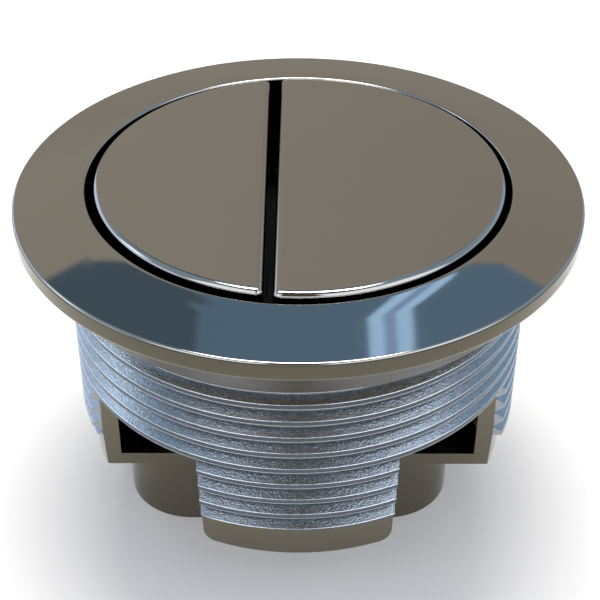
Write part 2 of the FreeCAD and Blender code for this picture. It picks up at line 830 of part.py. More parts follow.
def turned_ring(name, bore, outside, low, high, plunger_x):
    """A flat ring about a plunger's axis."""
    body = new_body(name)
    profile = new_sketch(body, "ring_profile", "XZ_Plane")
    rectangle(profile, bore, outside, low, high)
    revolve(body, "ring_turning", profile)
    tie(body, {"Placement.Base.x": plunger_x})
    return body


def stop_bumper(name, plunger_x):
    """A soft ring that meets the guide tube's end when the button comes back up."""
    bore = s.stem_radius + s.groove_clearance
    return turned_ring(f"{name}_stop_bumper", bore, bumper_radius, clip_top, guide_end, plunger_x)


def retaining_clip(name, plunger_x):
    """A spring steel clip, open at one side, in the stem's groove."""
    bore = s.stem_radius - s.groove_depth + s.groove_clearance
    body = turned_ring(f"{name}_retaining_clip", bore, clip_radius, clip_bottom, clip_top, plunger_x)
    mouth = new_sketch(body, "clip_mouth_outline", "XY_Plane", clip_top)
    half = s.clip_mouth / 2
    rectangle(mouth, -half, half, 0, clip_radius * 2)
    pocket(body, "clip_mouth", mouth)
    return body


def adjusting_rod(name, plunger_x):
    """A rod screwed into the stem, with a screwdriver slot across its top end."""
    body = new_body(f"{name}_adjusting_rod")
    section = new_sketch(body, "rod_section", "XY_Plane", foot_bottom + s.foot_sole)
    circle(section, 0, 0, s.rod_radius)
    length = stem_end + s.rod_engagement - foot_bottom - s.foot_sole
    rod = pad(body, "rod_length", section, length)
    top = stem_end + s.rod_engagement
    chamfer(body, "rod_end", rod, s.rod_chamfer, lambda edge: is_circle(edge, s.rod_radius, top))
    tie(body, {"Placement.Base.x": plunger_x})
    return body


def jam_nut(name, plunger_x):
    """A hexagon nut that locks the rod against the stem's end."""
    hexagon = document.addObject("Part::Prism", f"{name}_hexagon")
    hexagon.Polygon = 6
    tie(
        hexagon,
        {
            "Circumradius": s.nut_across_flats / math.sqrt(3),
            "Height": s.nut_thickness,
            "Placement.Base.z": nut_bottom,
        },
    )
    bore = document.addObject("Part::Cylinder", f"{name}_nut_bore")
    tie(
        bore,
        {
            "Radius": s.rod_radius + s.rod_clearance,
            "Height": s.nut_thickness * 2,
            "Placement.Base.z": nut_bottom - s.nut_thickness / 2,
        },
    )
    nut = join("Part::Cut", f"{name}_jam_nut", [hexagon, bore])
    tie(nut, {"Placement.Base.x": plunger_x})
    return nut


def plunger_foot(name, plunger_x):
    """A soft foot pushed over the rod's lower end."""
    body = new_body(f"{name}_foot")
    bore = s.rod_radius + s.rod_clearance
    profile = new_sketch(body, "foot_profile", "XZ_Plane")
    polygon(
        profile,
        [
            (0, foot_bottom),
            (s.foot_radius - s.foot_chamfer, foot_bottom),
            (s.foot_radius, foot_bottom + s.foot_chamfer),
            (s.foot_radius, foot_top),
            (bore, foot_top),
            (bore, foot_bottom + s.foot_sole),
            (0, foot_bottom + s.foot_sole),
        ],
    )
    revolve(body, "foot_turning", profile)
    tie(body, {"Placement.Base.x": plunger_x})
    return body


def build_parts():
    """Builds every sub-part and gives each one its label."""
    parts = [threaded_shell(), guide_block()]
    parts.append(guide_screw("front_guide_screw", -1))
    parts.append(guide_screw("rear_guide_screw", 1))
    for name, plunger_x in PLUNGERS.items():
        parts.append(button_cap(name, CAP_SIDE[name], plunger_x))
        parts.append(slider(name, plunger_x))
        parts.append(return_spring(name, plunger_x))
        parts.append(stop_bumper(name, plunger_x))
        parts.append(retaining_clip(name, plunger_x))
        parts.append(adjusting_rod(name, plunger_x))
        parts.append(jam_nut(name, plunger_x))
        parts.append(plunger_foot(name, plunger_x))
    for part in parts:
        part.Label = part.Name
    document.recompute()
    return parts


def check(parts):
    """Stops if any object failed to rebuild or any sub-part has no sound shape."""
    for item in document.Objects:
        if "Invalid" in item.State or "Error" in item.State:
            raise RuntimeError(f"{item.Name} did not rebuild: {item.State}")
    for part in parts:
        if part.Shape.isNull() or not part.Shape.isValid():
            raise RuntimeError(f"{part.Label} has no valid shape")
        if len(part.Shape.Solids) != 1:
            raise RuntimeError(f"{part.Label} has {len(part.Shape.Solids)} solids")


def export(parts):
    """Writes one STEP file for each sub-part."""
    os.makedirs("parts", exist_ok=True)
    for part in parts:
        part.Shape.exportStep(f"parts/{part.Label}.step")
        box = part.Shape.BoundBox
        print(
            f"{part.Label}: volume {part.Shape.Volume:.1f}, "
            f"z {box.ZMin:.2f} to {box.ZMax:.2f}"
        )


parts = build_parts()
check(parts)
export(parts)
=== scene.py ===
"""Looks of a dual flush push button for a cistern lid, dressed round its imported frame.

The origin is the centre of the flange's seat, +Z points up out of the lid and -Y is the front.
Lengths are written in millimetres, and become Blender's metres where a mesh is made.
"""

import logging
import math
from collections.abc import Callable, Sequence
from dataclasses import dataclass
from enum import Enum

import bmesh
import bpy
from mathutils import Matrix, Vector

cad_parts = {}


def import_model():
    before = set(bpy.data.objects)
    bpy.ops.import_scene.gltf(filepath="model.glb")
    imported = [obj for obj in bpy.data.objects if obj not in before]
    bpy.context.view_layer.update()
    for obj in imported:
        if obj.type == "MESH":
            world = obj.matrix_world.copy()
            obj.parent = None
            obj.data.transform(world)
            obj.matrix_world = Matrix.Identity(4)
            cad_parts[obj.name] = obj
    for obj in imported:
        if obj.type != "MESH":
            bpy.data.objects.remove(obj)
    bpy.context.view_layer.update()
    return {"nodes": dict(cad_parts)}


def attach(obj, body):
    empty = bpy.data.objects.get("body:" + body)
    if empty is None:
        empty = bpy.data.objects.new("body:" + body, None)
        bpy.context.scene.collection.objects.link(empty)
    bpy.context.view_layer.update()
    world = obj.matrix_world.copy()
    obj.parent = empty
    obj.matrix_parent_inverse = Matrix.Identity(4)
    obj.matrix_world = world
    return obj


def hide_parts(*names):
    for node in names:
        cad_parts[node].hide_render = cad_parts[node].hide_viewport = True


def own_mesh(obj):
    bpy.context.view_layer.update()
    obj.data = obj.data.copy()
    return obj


MM = 0.001
LOG = logging.getLogger("push_button")

# Corners of a mesh closer than this are one, in metres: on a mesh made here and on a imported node.
SAME_CORNER = 1e-7
SAME_PACKED_CORNER = 1e-6
# A radius smaller than this lies on the axis that an outline is turned round, in millimetres.
ON_AXIS = 1e-6

Point = tuple[float, float]
Outline = list[Point]
Colour = tuple[float, float, float]


class Plane(Enum):
    """The plane that an outline is drawn in, as the axes of its two coordinates and its normal."""

    XY = (0, 1, 2)
    XZ = (0, 2, 1)
    YZ = (1, 2, 0)


class Blend(Enum):
    """How one closed mesh is combined with another."""

    JOIN = "UNION"
    CUT = "DIFFERENCE"
    KEEP = "INTERSECT"


class Side(Enum):
    """Which of the two buttons a piece belongs to: its name, its side and its plunger's place."""

    HALF = ("half_flush", -1, -12.8)
    FULL = ("full_flush", 1, 10.2)

    @property
    def label(self) -> str:
        """The first part of the names of this button's pieces."""
        return self.value[0]

    @property
    def sign(self) -> int:
        """-1 for the button left of the slot, 1 for the one right of it."""
        return self.value[1]

    @property
    def plunger(self) -> float:
        """Where this button's plunger stands along X, in millimetres."""
        return self.value[2]

    @property
    def body(self) -> str:
        """The moving body that this button's pieces ride on."""
        return f"{self.label}_button"


@dataclass(frozen=True)
class Corner:
    """A corner of an outline, in millimetres, with the radius that rounds it."""

    across: float
    up: float
    radius: float = 0.0


def rounded(corners: Sequence[Corner], steps: int = 5) -> Outline:
    """Turns corners into an outline whose rounded corners are short arcs.

    Args:
        corners: the outline's corners, in order.
        steps: how many edges each arc gets.

    Returns:
        The outline's points, in the same order.
    """
    points: Outline = []
    for index, corner in enumerate(corners):
        here = Vector((corner.across, corner.up))
        if not corner.radius:
            points.append((here.x, here.y))
            continue
        before = corners[index - 1]
        after = corners[(index + 1) % len(corners)]
        back = (Vector((before.across, before.up)) - here).normalized()
        ahead = (Vector((after.across, after.up)) - here).normalized()
        half = back.angle(ahead) / 2
        centre = here + (back + ahead).normalized() * (corner.radius / math.sin(half))
        start = here + back * (corner.radius / math.tan(half)) - centre
        sweep = math.pi - 2 * half
        turn = 1 if back.x * ahead.y - back.y * ahead.x < 0 else -1
        for step in range(steps + 1):
            angle = turn * sweep * step / steps
            spoke = Matrix.Rotation(angle, 2) @ start
            points.append((centre.x + spoke.x, centre.y + spoke.y))
    return points


def rectangle(left: float, right: float, low: float, high: float) -> Outline:
    """Draws a rectangle between two sides and two levels, from its lower left corner round."""
    return [(left, low), (right, low), (right, high), (left, high)]


class Solid:
    """A closed mesh that is built up, cut and finished in place."""

    def __init__(self, name: str, mesh: bpy.types.Mesh) -> None:
        """Wraps a mesh in an object of the scene, at the origin.

        Args:
            name: the object's and the mesh's name.
            mesh: the mesh.
        """
        mesh.name = name
        self.item = bpy.data.objects.new(name, mesh)
        bpy.context.scene.collection.objects.link(self.item)

    @classmethod
    def from_faces(cls, name: str, points: list[Vector], faces: list[tuple[int, ...]]) -> "Solid":
        """Makes a solid from points in millimetres and faces, with its normals turned outwards.

        Args:
            name: the object's name.
            points: the corners, in millimetres.
            faces: indices into the points.

        Returns:
            The new solid.
        """
        shape = bmesh.new()
        corners = [shape.verts.new(point * MM) for point in points]
        for face in faces:
            shape.faces.new([corners[index] for index in face])
        bmesh.ops.remove_doubles(shape, verts=shape.verts, dist=SAME_CORNER)
        bmesh.ops.recalc_face_normals(shape, faces=shape.faces)
        mesh = bpy.data.meshes.new(name)
        shape.to_mesh(mesh)
        shape.free()
        return cls(name, mesh)

    @classmethod
    def turned(
        cls, name: str, outline: Outline, steps: int, centre: Point = (0.0, 0.0)
    ) -> "Solid":
        """Turns a closed outline of radii and levels round a vertical axis.

        Args:
            name: the object's name.
            outline: points of radius and level.
            steps: how many flats the full turn gets.
            centre: where the axis stands.

        Returns:
            The turned solid.
        """
        points = []
        for step in range(steps):
            angle = 2 * math.pi * step / steps
            across, along = math.cos(angle), math.sin(angle)
            for radius, level in outline:
                spot = (centre[0] + radius * across, centre[1] + radius * along, level)
                points.append(Vector(spot))
        faces = []
        count = len(outline)
        for step in range(steps):
            ring, following = step * count, (step + 1) % steps * count
            for index in range(count):
                after = (index + 1) % count
                if outline[index][0] < ON_AXIS and outline[after][0] < ON_AXIS:
                    continue
                faces.append((ring + index, following + index, following + after, ring + after))
        return cls.from_faces(name, points, faces)

    @classmethod
    def prism(cls, name: str, outline: Outline, plane: Plane, low: float, high: float) -> "Solid":
        """Extends an outline along its plane's normal, between two levels.

        Args:
            name: the object's name.
            outline: the closed outline.
            plane: the plane it is drawn in.
            low: where the prism starts along the normal.
            high: where it ends.

        Returns:
            The prism.
        """
        first, second, normal = plane.value
        points = []
        for level in (low, high):
            for across, up in outline:
                point = Vector()
                point[first], point[second], point[normal] = across, up, level
                points.append(point)
        count = len(outline)
        faces = [tuple(range(count)), tuple(range(count, 2 * count))]
        faces += [(i, (i + 1) % count, count + (i + 1) % count, count + i) for i in range(count)]
        return cls.from_faces(name, points, faces)

    @classmethod
    def from_node(cls, name: str, node: bpy.types.Object) -> "Solid":
        """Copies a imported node's mesh and merges its loose triangles.

        Args:
            name: the new object's name.
            node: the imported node, which is left as it is.

        Returns:
            The merged copy.
        """
        shape = bmesh.new()
        shape.from_mesh(node.data)
        bmesh.ops.remove_doubles(shape, verts=shape.verts, dist=SAME_PACKED_CORNER)
        mesh = bpy.data.meshes.new(name)
        shape.to_mesh(mesh)
        shape.free()
        return cls(name, mesh)

    def settle(self) -> "Solid":
        """Turns the object's modifiers into its mesh, and takes them off.

        Returns:
            This solid.
        """
        graph = bpy.context.evaluated_depsgraph_get()
        mesh = bpy.data.meshes.new_from_object(self.item.evaluated_get(graph))
        self.item.modifiers.clear()
        self.item.data = mesh
        return self

    def combine(self, blend: Blend, *tools: "Solid") -> "Solid":
        """Joins, cuts or trims this solid with others, which are used up.

        Args:
            blend: what is done with each tool.
            *tools: the other solids.

        Returns:
            This solid.
        """
        for tool in tools:
            step = self.item.modifiers.new("combine", "BOOLEAN")
            step.operation = blend.value
            step.solver = "MANIFOLD"
            step.object = tool.item
            self.settle()
            bpy.data.objects.remove(tool.item)
        return self

    def soften(self, width: float, segments: int = 2, angle: float = 40.0) -> "Solid":
        """Rounds every edge sharper than an angle.

        Args:
            width: the rounding's width, in millimetres.
            segments: how many faces the rounding gets.
            angle: the least angle between faces that is rounded, in degrees.

        Returns:
            This solid.
        """
        bevel = self.item.modifiers.new("soften", "BEVEL")
        bevel.width = width * MM
        bevel.segments = segments
        bevel.limit_method = "ANGLE"
        bevel.angle_limit = math.radians(angle)
        bevel.miter_outer = "MITER_ARC"
        return self.settle()

    def smooth(self, angle: float = 32.0) -> "Solid":
        """Shades the mesh smoothly, large faces first, apart from its sharp edges.

        Args:
            angle: the least angle between faces that stays sharp, in degrees.

        Returns:
            This solid.
        """
        mesh = self.item.data
        mesh.shade_smooth()
        mesh.set_sharp_from_angle(angle=math.radians(angle))
        weigh = self.item.modifiers.new("weigh", "WEIGHTED_NORMAL")
        weigh.keep_sharp = True
        return self.settle()

    def dress(self, *finishes: "Finish") -> "Solid":
        """Gives the mesh its materials, the first one on every face.

        Args:
            *finishes: the materials' finishes, in the order of the mesh's slots.

        Returns:
            This solid.
        """
        self.item.data.materials.clear()
        for finish in finishes:
            self.item.data.materials.append(finish.material())
        return self

    def paint(self, choose: Callable[[Vector, Vector], int]) -> "Solid":
        """Gives each face one of the mesh's materials.

        Args:
            choose: gives a material's place among the mesh's own, from a face's centre in
                millimetres and its normal.

        Returns:
            This solid.
        """
        for face in self.item.data.polygons:
            face.material_index = choose(face.center / MM, face.normal)
        return self


class Sheet:
    """A node tree with short ways to add, link and read nodes."""

    def __init__(self, tree: bpy.types.NodeTree) -> None:
        """Takes a tree over and empties it."""
        self.tree = tree
        tree.nodes.clear()

    def add(self, kind: str, inputs: dict | None = None, **settings: object) -> bpy.types.Node:
        """Adds a node.

        Args:
            kind: Blender's name of the node's type.
            inputs: for each input's name or place, a value or an output to link to it.
            **settings: the node's own settings.

        Returns:
            The new node.
        """
        node = self.tree.nodes.new(kind)
        for name, value in settings.items():
            setattr(node, name, value)
        for name, value in (inputs or {}).items():
            if isinstance(value, bpy.types.NodeSocket):
                self.tree.links.new(value, node.inputs[name])
            else:
                node.inputs[name].default_value = value
        return node

    def math(self, operation: str, *values: object) -> bpy.types.NodeSocket:
        """Adds one step of arithmetic and gives its result."""
        node = self.add("ShaderNodeMath", dict(enumerate(values)), operation=operation)
        return node.outputs[0]


class FormTree:
    """A Geometry Nodes tree with named inputs, run once for each mesh that it makes."""

    def __init__(self, name: str, inputs: dict[str, str]) -> None:
        """Starts a tree.

        Args:
            name: the tree's name.
            inputs: for each input's name, its kind of socket.
        """
        self.group = bpy.data.node_groups.new(name, "GeometryNodeTree")
        self.sheet = Sheet(self.group)
        self.group.interface.new_socket("Form", in_out="OUTPUT", socket_type="NodeSocketGeometry")
        self.keys = {}
        for label, kind in inputs.items():
            socket = self.group.interface.new_socket(label, in_out="INPUT", socket_type=kind)
            self.keys[label] = socket.identifier
        self.given = self.sheet.add("NodeGroupInput").outputs

    def end(self, form: bpy.types.NodeSocket, finish: bpy.types.NodeSocket) -> None:
        """Closes the tree with real geometry that carries its material.

        Args:
            form: the geometry that the tree has made.
            finish: its material.
        """
        real = self.sheet.add("GeometryNodeRealizeInstances", {0: form})
        dressed = self.sheet.add(
            "GeometryNodeSetMaterial", {0: real.outputs[0], "Material": finish}
        )
        self.sheet.add("NodeGroupOutput", {0: dressed.outputs[0]})

    def make(self, name: str, values: dict[str, object]) -> Solid:
        """Runs the tree on its own and keeps the plain mesh that comes out.

        Args:
            name: the new object's name.
            values: for each named input, its value.

        Returns:
            The mesh as a solid.
        """
        solid = Solid(name, bpy.data.meshes.new(name))
        modifier = solid.item.modifiers.new(name, "NODES")
        modifier.node_group = self.group
        for label, value in values.items():
            modifier[self.keys[label]] = value
        return solid.settle()


class HelicalRidge(FormTree):
    """A screw thread's ridge: a trapezoid with rounded crest corners, swept up a helix."""

    def __init__(self) -> None:
        """Builds the tree."""
        number = "NodeSocketFloat"
        super().__init__(
            "helical_ridge",
            {
                "Root radius": number,
                "Pitch": number,
                "Turns": number,
                "First level": number,
                "First angle": number,
                "Foot width": number,
                "Crest width": number,
                "Height": number,
                "Crest rounding": number,
                "Steps each turn": "NodeSocketInt",
                "Finish": "NodeSocketMaterial",
            },
        )
        given, sheet = self.given, self.sheet
        middle = sheet.math("ADD", given["Root radius"], sheet.math("DIVIDE", given["Height"], 2.0))
        helix = sheet.add(
            "GeometryNodeCurveSpiral",
            {
                "Resolution": given["Steps each turn"],
                "Rotations": given["Turns"],
                "Start Radius": middle,
                "End Radius": middle,
                "Height": sheet.math("MULTIPLY", given["Pitch"], given["Turns"]),
                "Reverse": True,
            },
        )
        upright = sheet.add("GeometryNodeSetCurveNormal", {0: helix.outputs[0]}, mode="Z_UP")
        section = sheet.add(
            "GeometryNodeCurvePrimitiveQuadrilateral",
            {
                "Height": given["Height"],
                "Bottom Width": given["Foot width"],
                "Top Width": given["Crest width"],
                "Offset": 0.0,
            },
            mode="TRAPEZOID",
        )
        turned = sheet.add(
            "GeometryNodeTransform",
            {0: section.outputs[0], "Rotation": (0.0, 0.0, -math.pi / 2)},
        )
        soft = sheet.add(
            "GeometryNodeFilletCurve",
            {0: turned.outputs[0], "Radius": given["Crest rounding"], "Count": 4},
            mode="POLY",
        )
        swept = sheet.add(
            "GeometryNodeCurveToMesh",
            {0: upright.outputs[0], "Profile Curve": soft.outputs[0], "Fill Caps": True},
        )
        place = sheet.add("ShaderNodeCombineXYZ", {2: given["First level"]})
        spin = sheet.add("ShaderNodeCombineXYZ", {2: given["First angle"]})
        placed = sheet.add(
            "GeometryNodeTransform",
            {0: swept.outputs[0], "Translation": place.outputs[0], "Rotation": spin.outputs[0]},
        )
        self.end(placed.outputs[0], given["Finish"])


class CoilSpring(FormTree):
    """A round wire coil with a closed turn at each end, ground flat."""

    def __init__(self) -> None:
        """Builds the tree."""
        number = "NodeSocketFloat"
        super().__init__(
            "coil_spring",
            {
                "Coil radius": number,
                "Wire radius": number,
                "Active turns": number,
                "Low end": number,
                "High end": number,
                "Ground depth": number,
                "Centre": number,
                "Steps": "NodeSocketInt",
                "Wire sides": "NodeSocketInt",
                "Finish": "NodeSocketMaterial",
            },
        )
        given, sheet = self.given, self.sheet
        line = sheet.add("GeometryNodeCurvePrimitiveLine", mode="POINTS")
        points = sheet.add(
            "GeometryNodeResampleCurve", {0: line.outputs[0], "Count": given["Steps"]}
        )
        share = sheet.add("GeometryNodeSplineParameter").outputs["Factor"]
        # One closed turn at each end, and the open turns between them.
        turns = sheet.math("ADD", given["Active turns"], 2.0)
        turn = sheet.math("MULTIPLY", share, turns)
        wire = sheet.math("MULTIPLY", given["Wire radius"], 2.0)
        inset = sheet.math("SUBTRACT", given["Wire radius"], given["Ground depth"])
        first = sheet.math("ADD", given["Low end"], inset)
        last = sheet.math("SUBTRACT", given["High end"], inset)
        dead = sheet.math("MULTIPLY", wire, 2.0)
        rise = sheet.math("SUBTRACT", sheet.math("SUBTRACT", last, first), dead)
        pitch = sheet.math("DIVIDE", rise, given["Active turns"])
        closed = sheet.math("MULTIPLY", sheet.math("MINIMUM", turn, 1.0), wire)
        beyond = sheet.math("MAXIMUM", sheet.math("SUBTRACT", turn, 1.0), 0.0)
        open_turns = sheet.math("MINIMUM", beyond, given["Active turns"])
        top_turn = sheet.math("MAXIMUM", sheet.math("SUBTRACT", beyond, given["Active turns"]), 0.0)
        climb = sheet.math("MULTIPLY", open_turns, pitch)
        level = sheet.math("ADD", sheet.math("ADD", first, closed), climb)
        level = sheet.math("ADD", level, sheet.math("MULTIPLY", top_turn, wire))
        angle = sheet.math("MULTIPLY", turn, 2 * math.pi)
        across = sheet.math("MULTIPLY", sheet.math("COSINE", angle), given["Coil radius"])
        along = sheet.math("MULTIPLY", sheet.math("SINE", angle), given["Coil radius"])
        place = sheet.add("ShaderNodeCombineXYZ", {0: across, 1: along, 2: level})
        coil = sheet.add(
            "GeometryNodeSetPosition", {0: points.outputs[0], "Position": place.outputs[0]}
        )
        section = sheet.add(
            "GeometryNodeCurvePrimitiveCircle",
            {"Resolution": given["Wire sides"], "Radius": given["Wire radius"]},
        )
        swept = sheet.add(
            "GeometryNodeCurveToMesh",
            {0: coil.outputs[0], "Profile Curve": section.outputs[0], "Fill Caps": True},
        )
        spot = sheet.add("GeometryNodeInputPosition")
        parts = sheet.add("ShaderNodeSeparateXYZ", {0: spot.outputs[0]})
        ground = sheet.math("MINIMUM", parts.outputs[2], given["High end"])
        ground = sheet.math("MAXIMUM", ground, given["Low end"])
        moved = sheet.math("ADD", parts.outputs[0], given["Centre"])
        flat = sheet.add("ShaderNodeCombineXYZ", {0: moved, 1: parts.outputs[1], 2: ground})
        ends = sheet.add(
            "GeometryNodeSetPosition", {0: swept.outputs[0], "Position": flat.outputs[0]}
        )
        self.end(ends.outputs[0], given["Finish"])


@dataclass(frozen=True)
class Texture:
    """How uneven a surface is: patches of tone, a fine grain and slow waves.

    Scales are per metre and depths in millimetres.
    """

    patch_scale: float
    grain_scale: float
    grain_depth: float
    wave_scale: float = 30.0
    wave_depth: float = 0.0


@dataclass(frozen=True)
class Finish:
    """A procedural surface between a light and a dark tone, with a least and a most roughness."""

    name: str
    light: Colour
    dark: Colour
    metallic: float
    roughness: tuple[float, float]
    texture: Texture

    def material(self) -> bpy.types.Material:
        """Gives the finish's material, which is made the first time it is asked for.

        Returns:
            The material, the same one each time.
        """
        found = bpy.data.materials.get(self.name)
        if found:
            return found
        made = bpy.data.materials.new(self.name)
        made.use_nodes = True
        sheet, texture = Sheet(made.node_tree), self.texture
        place = sheet.add("ShaderNodeTexCoord").outputs["Object"]
        patches, grain, waves = (
            sheet.add(
                "ShaderNodeTexNoise", {"Vector": place, "Scale": scale, "Detail": detail}
            ).outputs[0]
            for scale, detail in (
                (texture.patch_scale, 3.0),
                (texture.grain_scale, 2.0),
                (texture.wave_scale, 1.0),
            )
        )
        tone = sheet.add(
            "ShaderNodeMix",
            {"Factor": patches, 6: (*self.dark, 1.0), 7: (*self.light, 1.0)},
            data_type="RGBA",
        )
        gloss = sheet.add(
            "ShaderNodeMapRange",
            {"Value": patches, "To Min": self.roughness[0], "To Max": self.roughness[1]},
        )
        height = sheet.math("MULTIPLY", grain, texture.grain_depth * MM)
        height = sheet.math("ADD", height, sheet.math("MULTIPLY", waves, texture.wave_depth * MM))
        bump = sheet.add("ShaderNodeBump", {"Strength": 1.0, "Distance": 1.0, "Height": height})
        shader = sheet.add(
            "ShaderNodeBsdfPrincipled",
            {
                "Base Color": tone.outputs[2],
                "Metallic": self.metallic,
                "Roughness": gloss.outputs[0],
                "Normal": bump.outputs[0],
            },
        )
        sheet.add("ShaderNodeOutputMaterial", {"Surface": shader.outputs[0]})
        return made


METAL, PLAIN = 1.0, 0.0
POLISHED = Texture(60, 900, 0.0, wave_scale=25, wave_depth=0.004)
EVEN = Texture(60, 900, 0.0)
SATIN = Texture(2500, 4500, 0.04)
# Grain of the crest edges' painted highlight.
PAINTED_HIGHLIGHT_GRAIN = Texture(4000, 5500, 0.03)

PLATE = Finish(
    "chrome_plate", (0.42, 0.40, 0.375), (0.40, 0.38, 0.355), METAL, (0.03, 0.06), POLISHED
)
# The flange's edge is darker plate: a painted dark reflection.
RIM_PAINTED_REFLECTION_PLATE = Finish(
    "rim_painted_reflection_plate", (0.225, 0.205, 0.168), (0.2, 0.182, 0.146), METAL, (0.06, 0.12), POLISHED
)
SATIN_PLATE = Finish(
    "satin_plate", (0.46, 0.50, 0.55), (0.22, 0.25, 0.28), METAL, (0.1, 0.24), SATIN
)
# The thread's crest flats are darker plate: a painted dark reflection.
CREST_PAINTED_REFLECTION_PLATE = Finish(
    "crest_painted_reflection_plate", (0.15, 0.17, 0.2), (0.08, 0.09, 0.11), METAL, (0.16, 0.28), SATIN
)
# The crest's edges are near-white plate: a painted highlight.
EDGE_PAINTED_HIGHLIGHT_PLATE = Finish("edge_painted_highlight_plate", (0.85, 0.90, 0.94), (0.55, 0.58, 0.62), METAL, (0.1, 0.24), PAINTED_HIGHLIGHT_GRAIN)
# The flange's underside is darker, warmer plate: painted shade.
CONE_PAINTED_SHADE_PLATE = Finish(
    "cone_painted_shade_plate", (0.18, 0.137, 0.075), (0.16, 0.12, 0.065), METAL, (0.3, 0.4), EVEN
)
# Everything below or inside the shell is darker plate: painted shade.
PAINTED_SHADE_BELOW_PLATE = Finish(
    "painted_shade_below", (0.184, 0.164, 0.126), (0.164, 0.146, 0.11), METAL, (0.05, 0.1), POLISHED
)
GUIDE_BLACK = Finish(
    "guide_black",
    (0.018, 0.018, 0.019),
    (0.01, 0.01, 0.011),
    PLAIN,
    (0.5, 0.65),
    Texture(400, 5000, 0.01),
)
SLIDER_BLACK = Finish(
    "slider_black",
    (0.03, 0.03, 0.032),
    (0.02, 0.02, 0.022),
    PLAIN,
    (0.32, 0.45),
    Texture(300, 4000, 0.006),
)
NYLON = Finish(
    "nylon", (0.78, 0.76, 0.70), (0.70, 0.68, 0.62), PLAIN, (0.4, 0.55), Texture(250, 3000, 0.008)
)
SPRING_STEEL = Finish(
    "spring_wire",
    (0.56, 0.56, 0.55),
    (0.44, 0.44, 0.43),
    METAL,
    (0.2, 0.34),
    Texture(700, 6000, 0.003),
)
CLIP_STEEL = Finish(
    "clip_steel",
    (0.46, 0.45, 0.44),
    (0.34, 0.33, 0.33),
    METAL,
    (0.28, 0.42),
    Texture(500, 5000, 0.004),
)
SCREW_STEEL = Finish(
    "screw_steel", (0.6, 0.6, 0.6), (0.5, 0.5, 0.5), METAL, (0.18, 0.3), Texture(500, 5000, 0.004)
)
RUBBER = Finish(
    "black_rubber",
    (0.032, 0.032, 0.033),
    (0.022, 0.022, 0.023),
    PLAIN,
    (0.65, 0.8),
    Texture(350, 3500, 0.015),
)


class Plate(Enum):
    """The plated shell's finishes, in the order of its material slots; all but the bright and satin
    plates are painted shade, painted dark reflection or painted highlight.
    """

    BRIGHT = PLATE  # Top of the flange.
    RIM = RIM_PAINTED_REFLECTION_PLATE  # Edge of the flange, darker as a painted dark reflection.
    SATIN = SATIN_PLATE  # Sides and roots of the thread.
    CREST = CREST_PAINTED_REFLECTION_PLATE  # Flat crest of the thread, darker as a painted dark reflection.
    EDGE = EDGE_PAINTED_HIGHLIGHT_PLATE  # Edges of the crest, brighter as a painted highlight.
    CONE = CONE_PAINTED_SHADE_PLATE  # Underside of the flange, darker and warmer as painted shade.
    DULL = PAINTED_SHADE_BELOW_PLATE  # All that is below or inside, darker as painted shade.


def show(solid: Solid, body: str, nodes: Sequence[str]) -> None:
    """Hands a finished piece over to the frame.

    Args:
        solid: the piece.
        body: the moving body that it rides on.
        nodes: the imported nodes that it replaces.
    """
    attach(solid.item, body)
    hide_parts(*nodes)
    LOG.info("%s rides on %s with %d faces", solid.item.name, body, len(solid.item.data.polygons))


@dataclass(frozen=True)
class PlateLimits:
    """Where one plate on the shell gives way to the next.

    Depths are in millimetres inwards or downwards from an edge, and slopes are the upward share of
    a face's normal.
    """

    # Rim depth and slope bound the rim's painted dark reflection.
    rim_depth: float = 0.485
    rim_slope: float = 0.5
    top_depth: float = 2.4
    seat_depth: float = 0.01
    margin: float = 0.05
    crest_depth: float = 0.25
    side_slope: float = 0.78
    # These slopes bound the crest edges' painted highlights.
    upper_edge_slope: float = 0.45
    lower_edge_slopes: Point = (-0.45, -0.08)


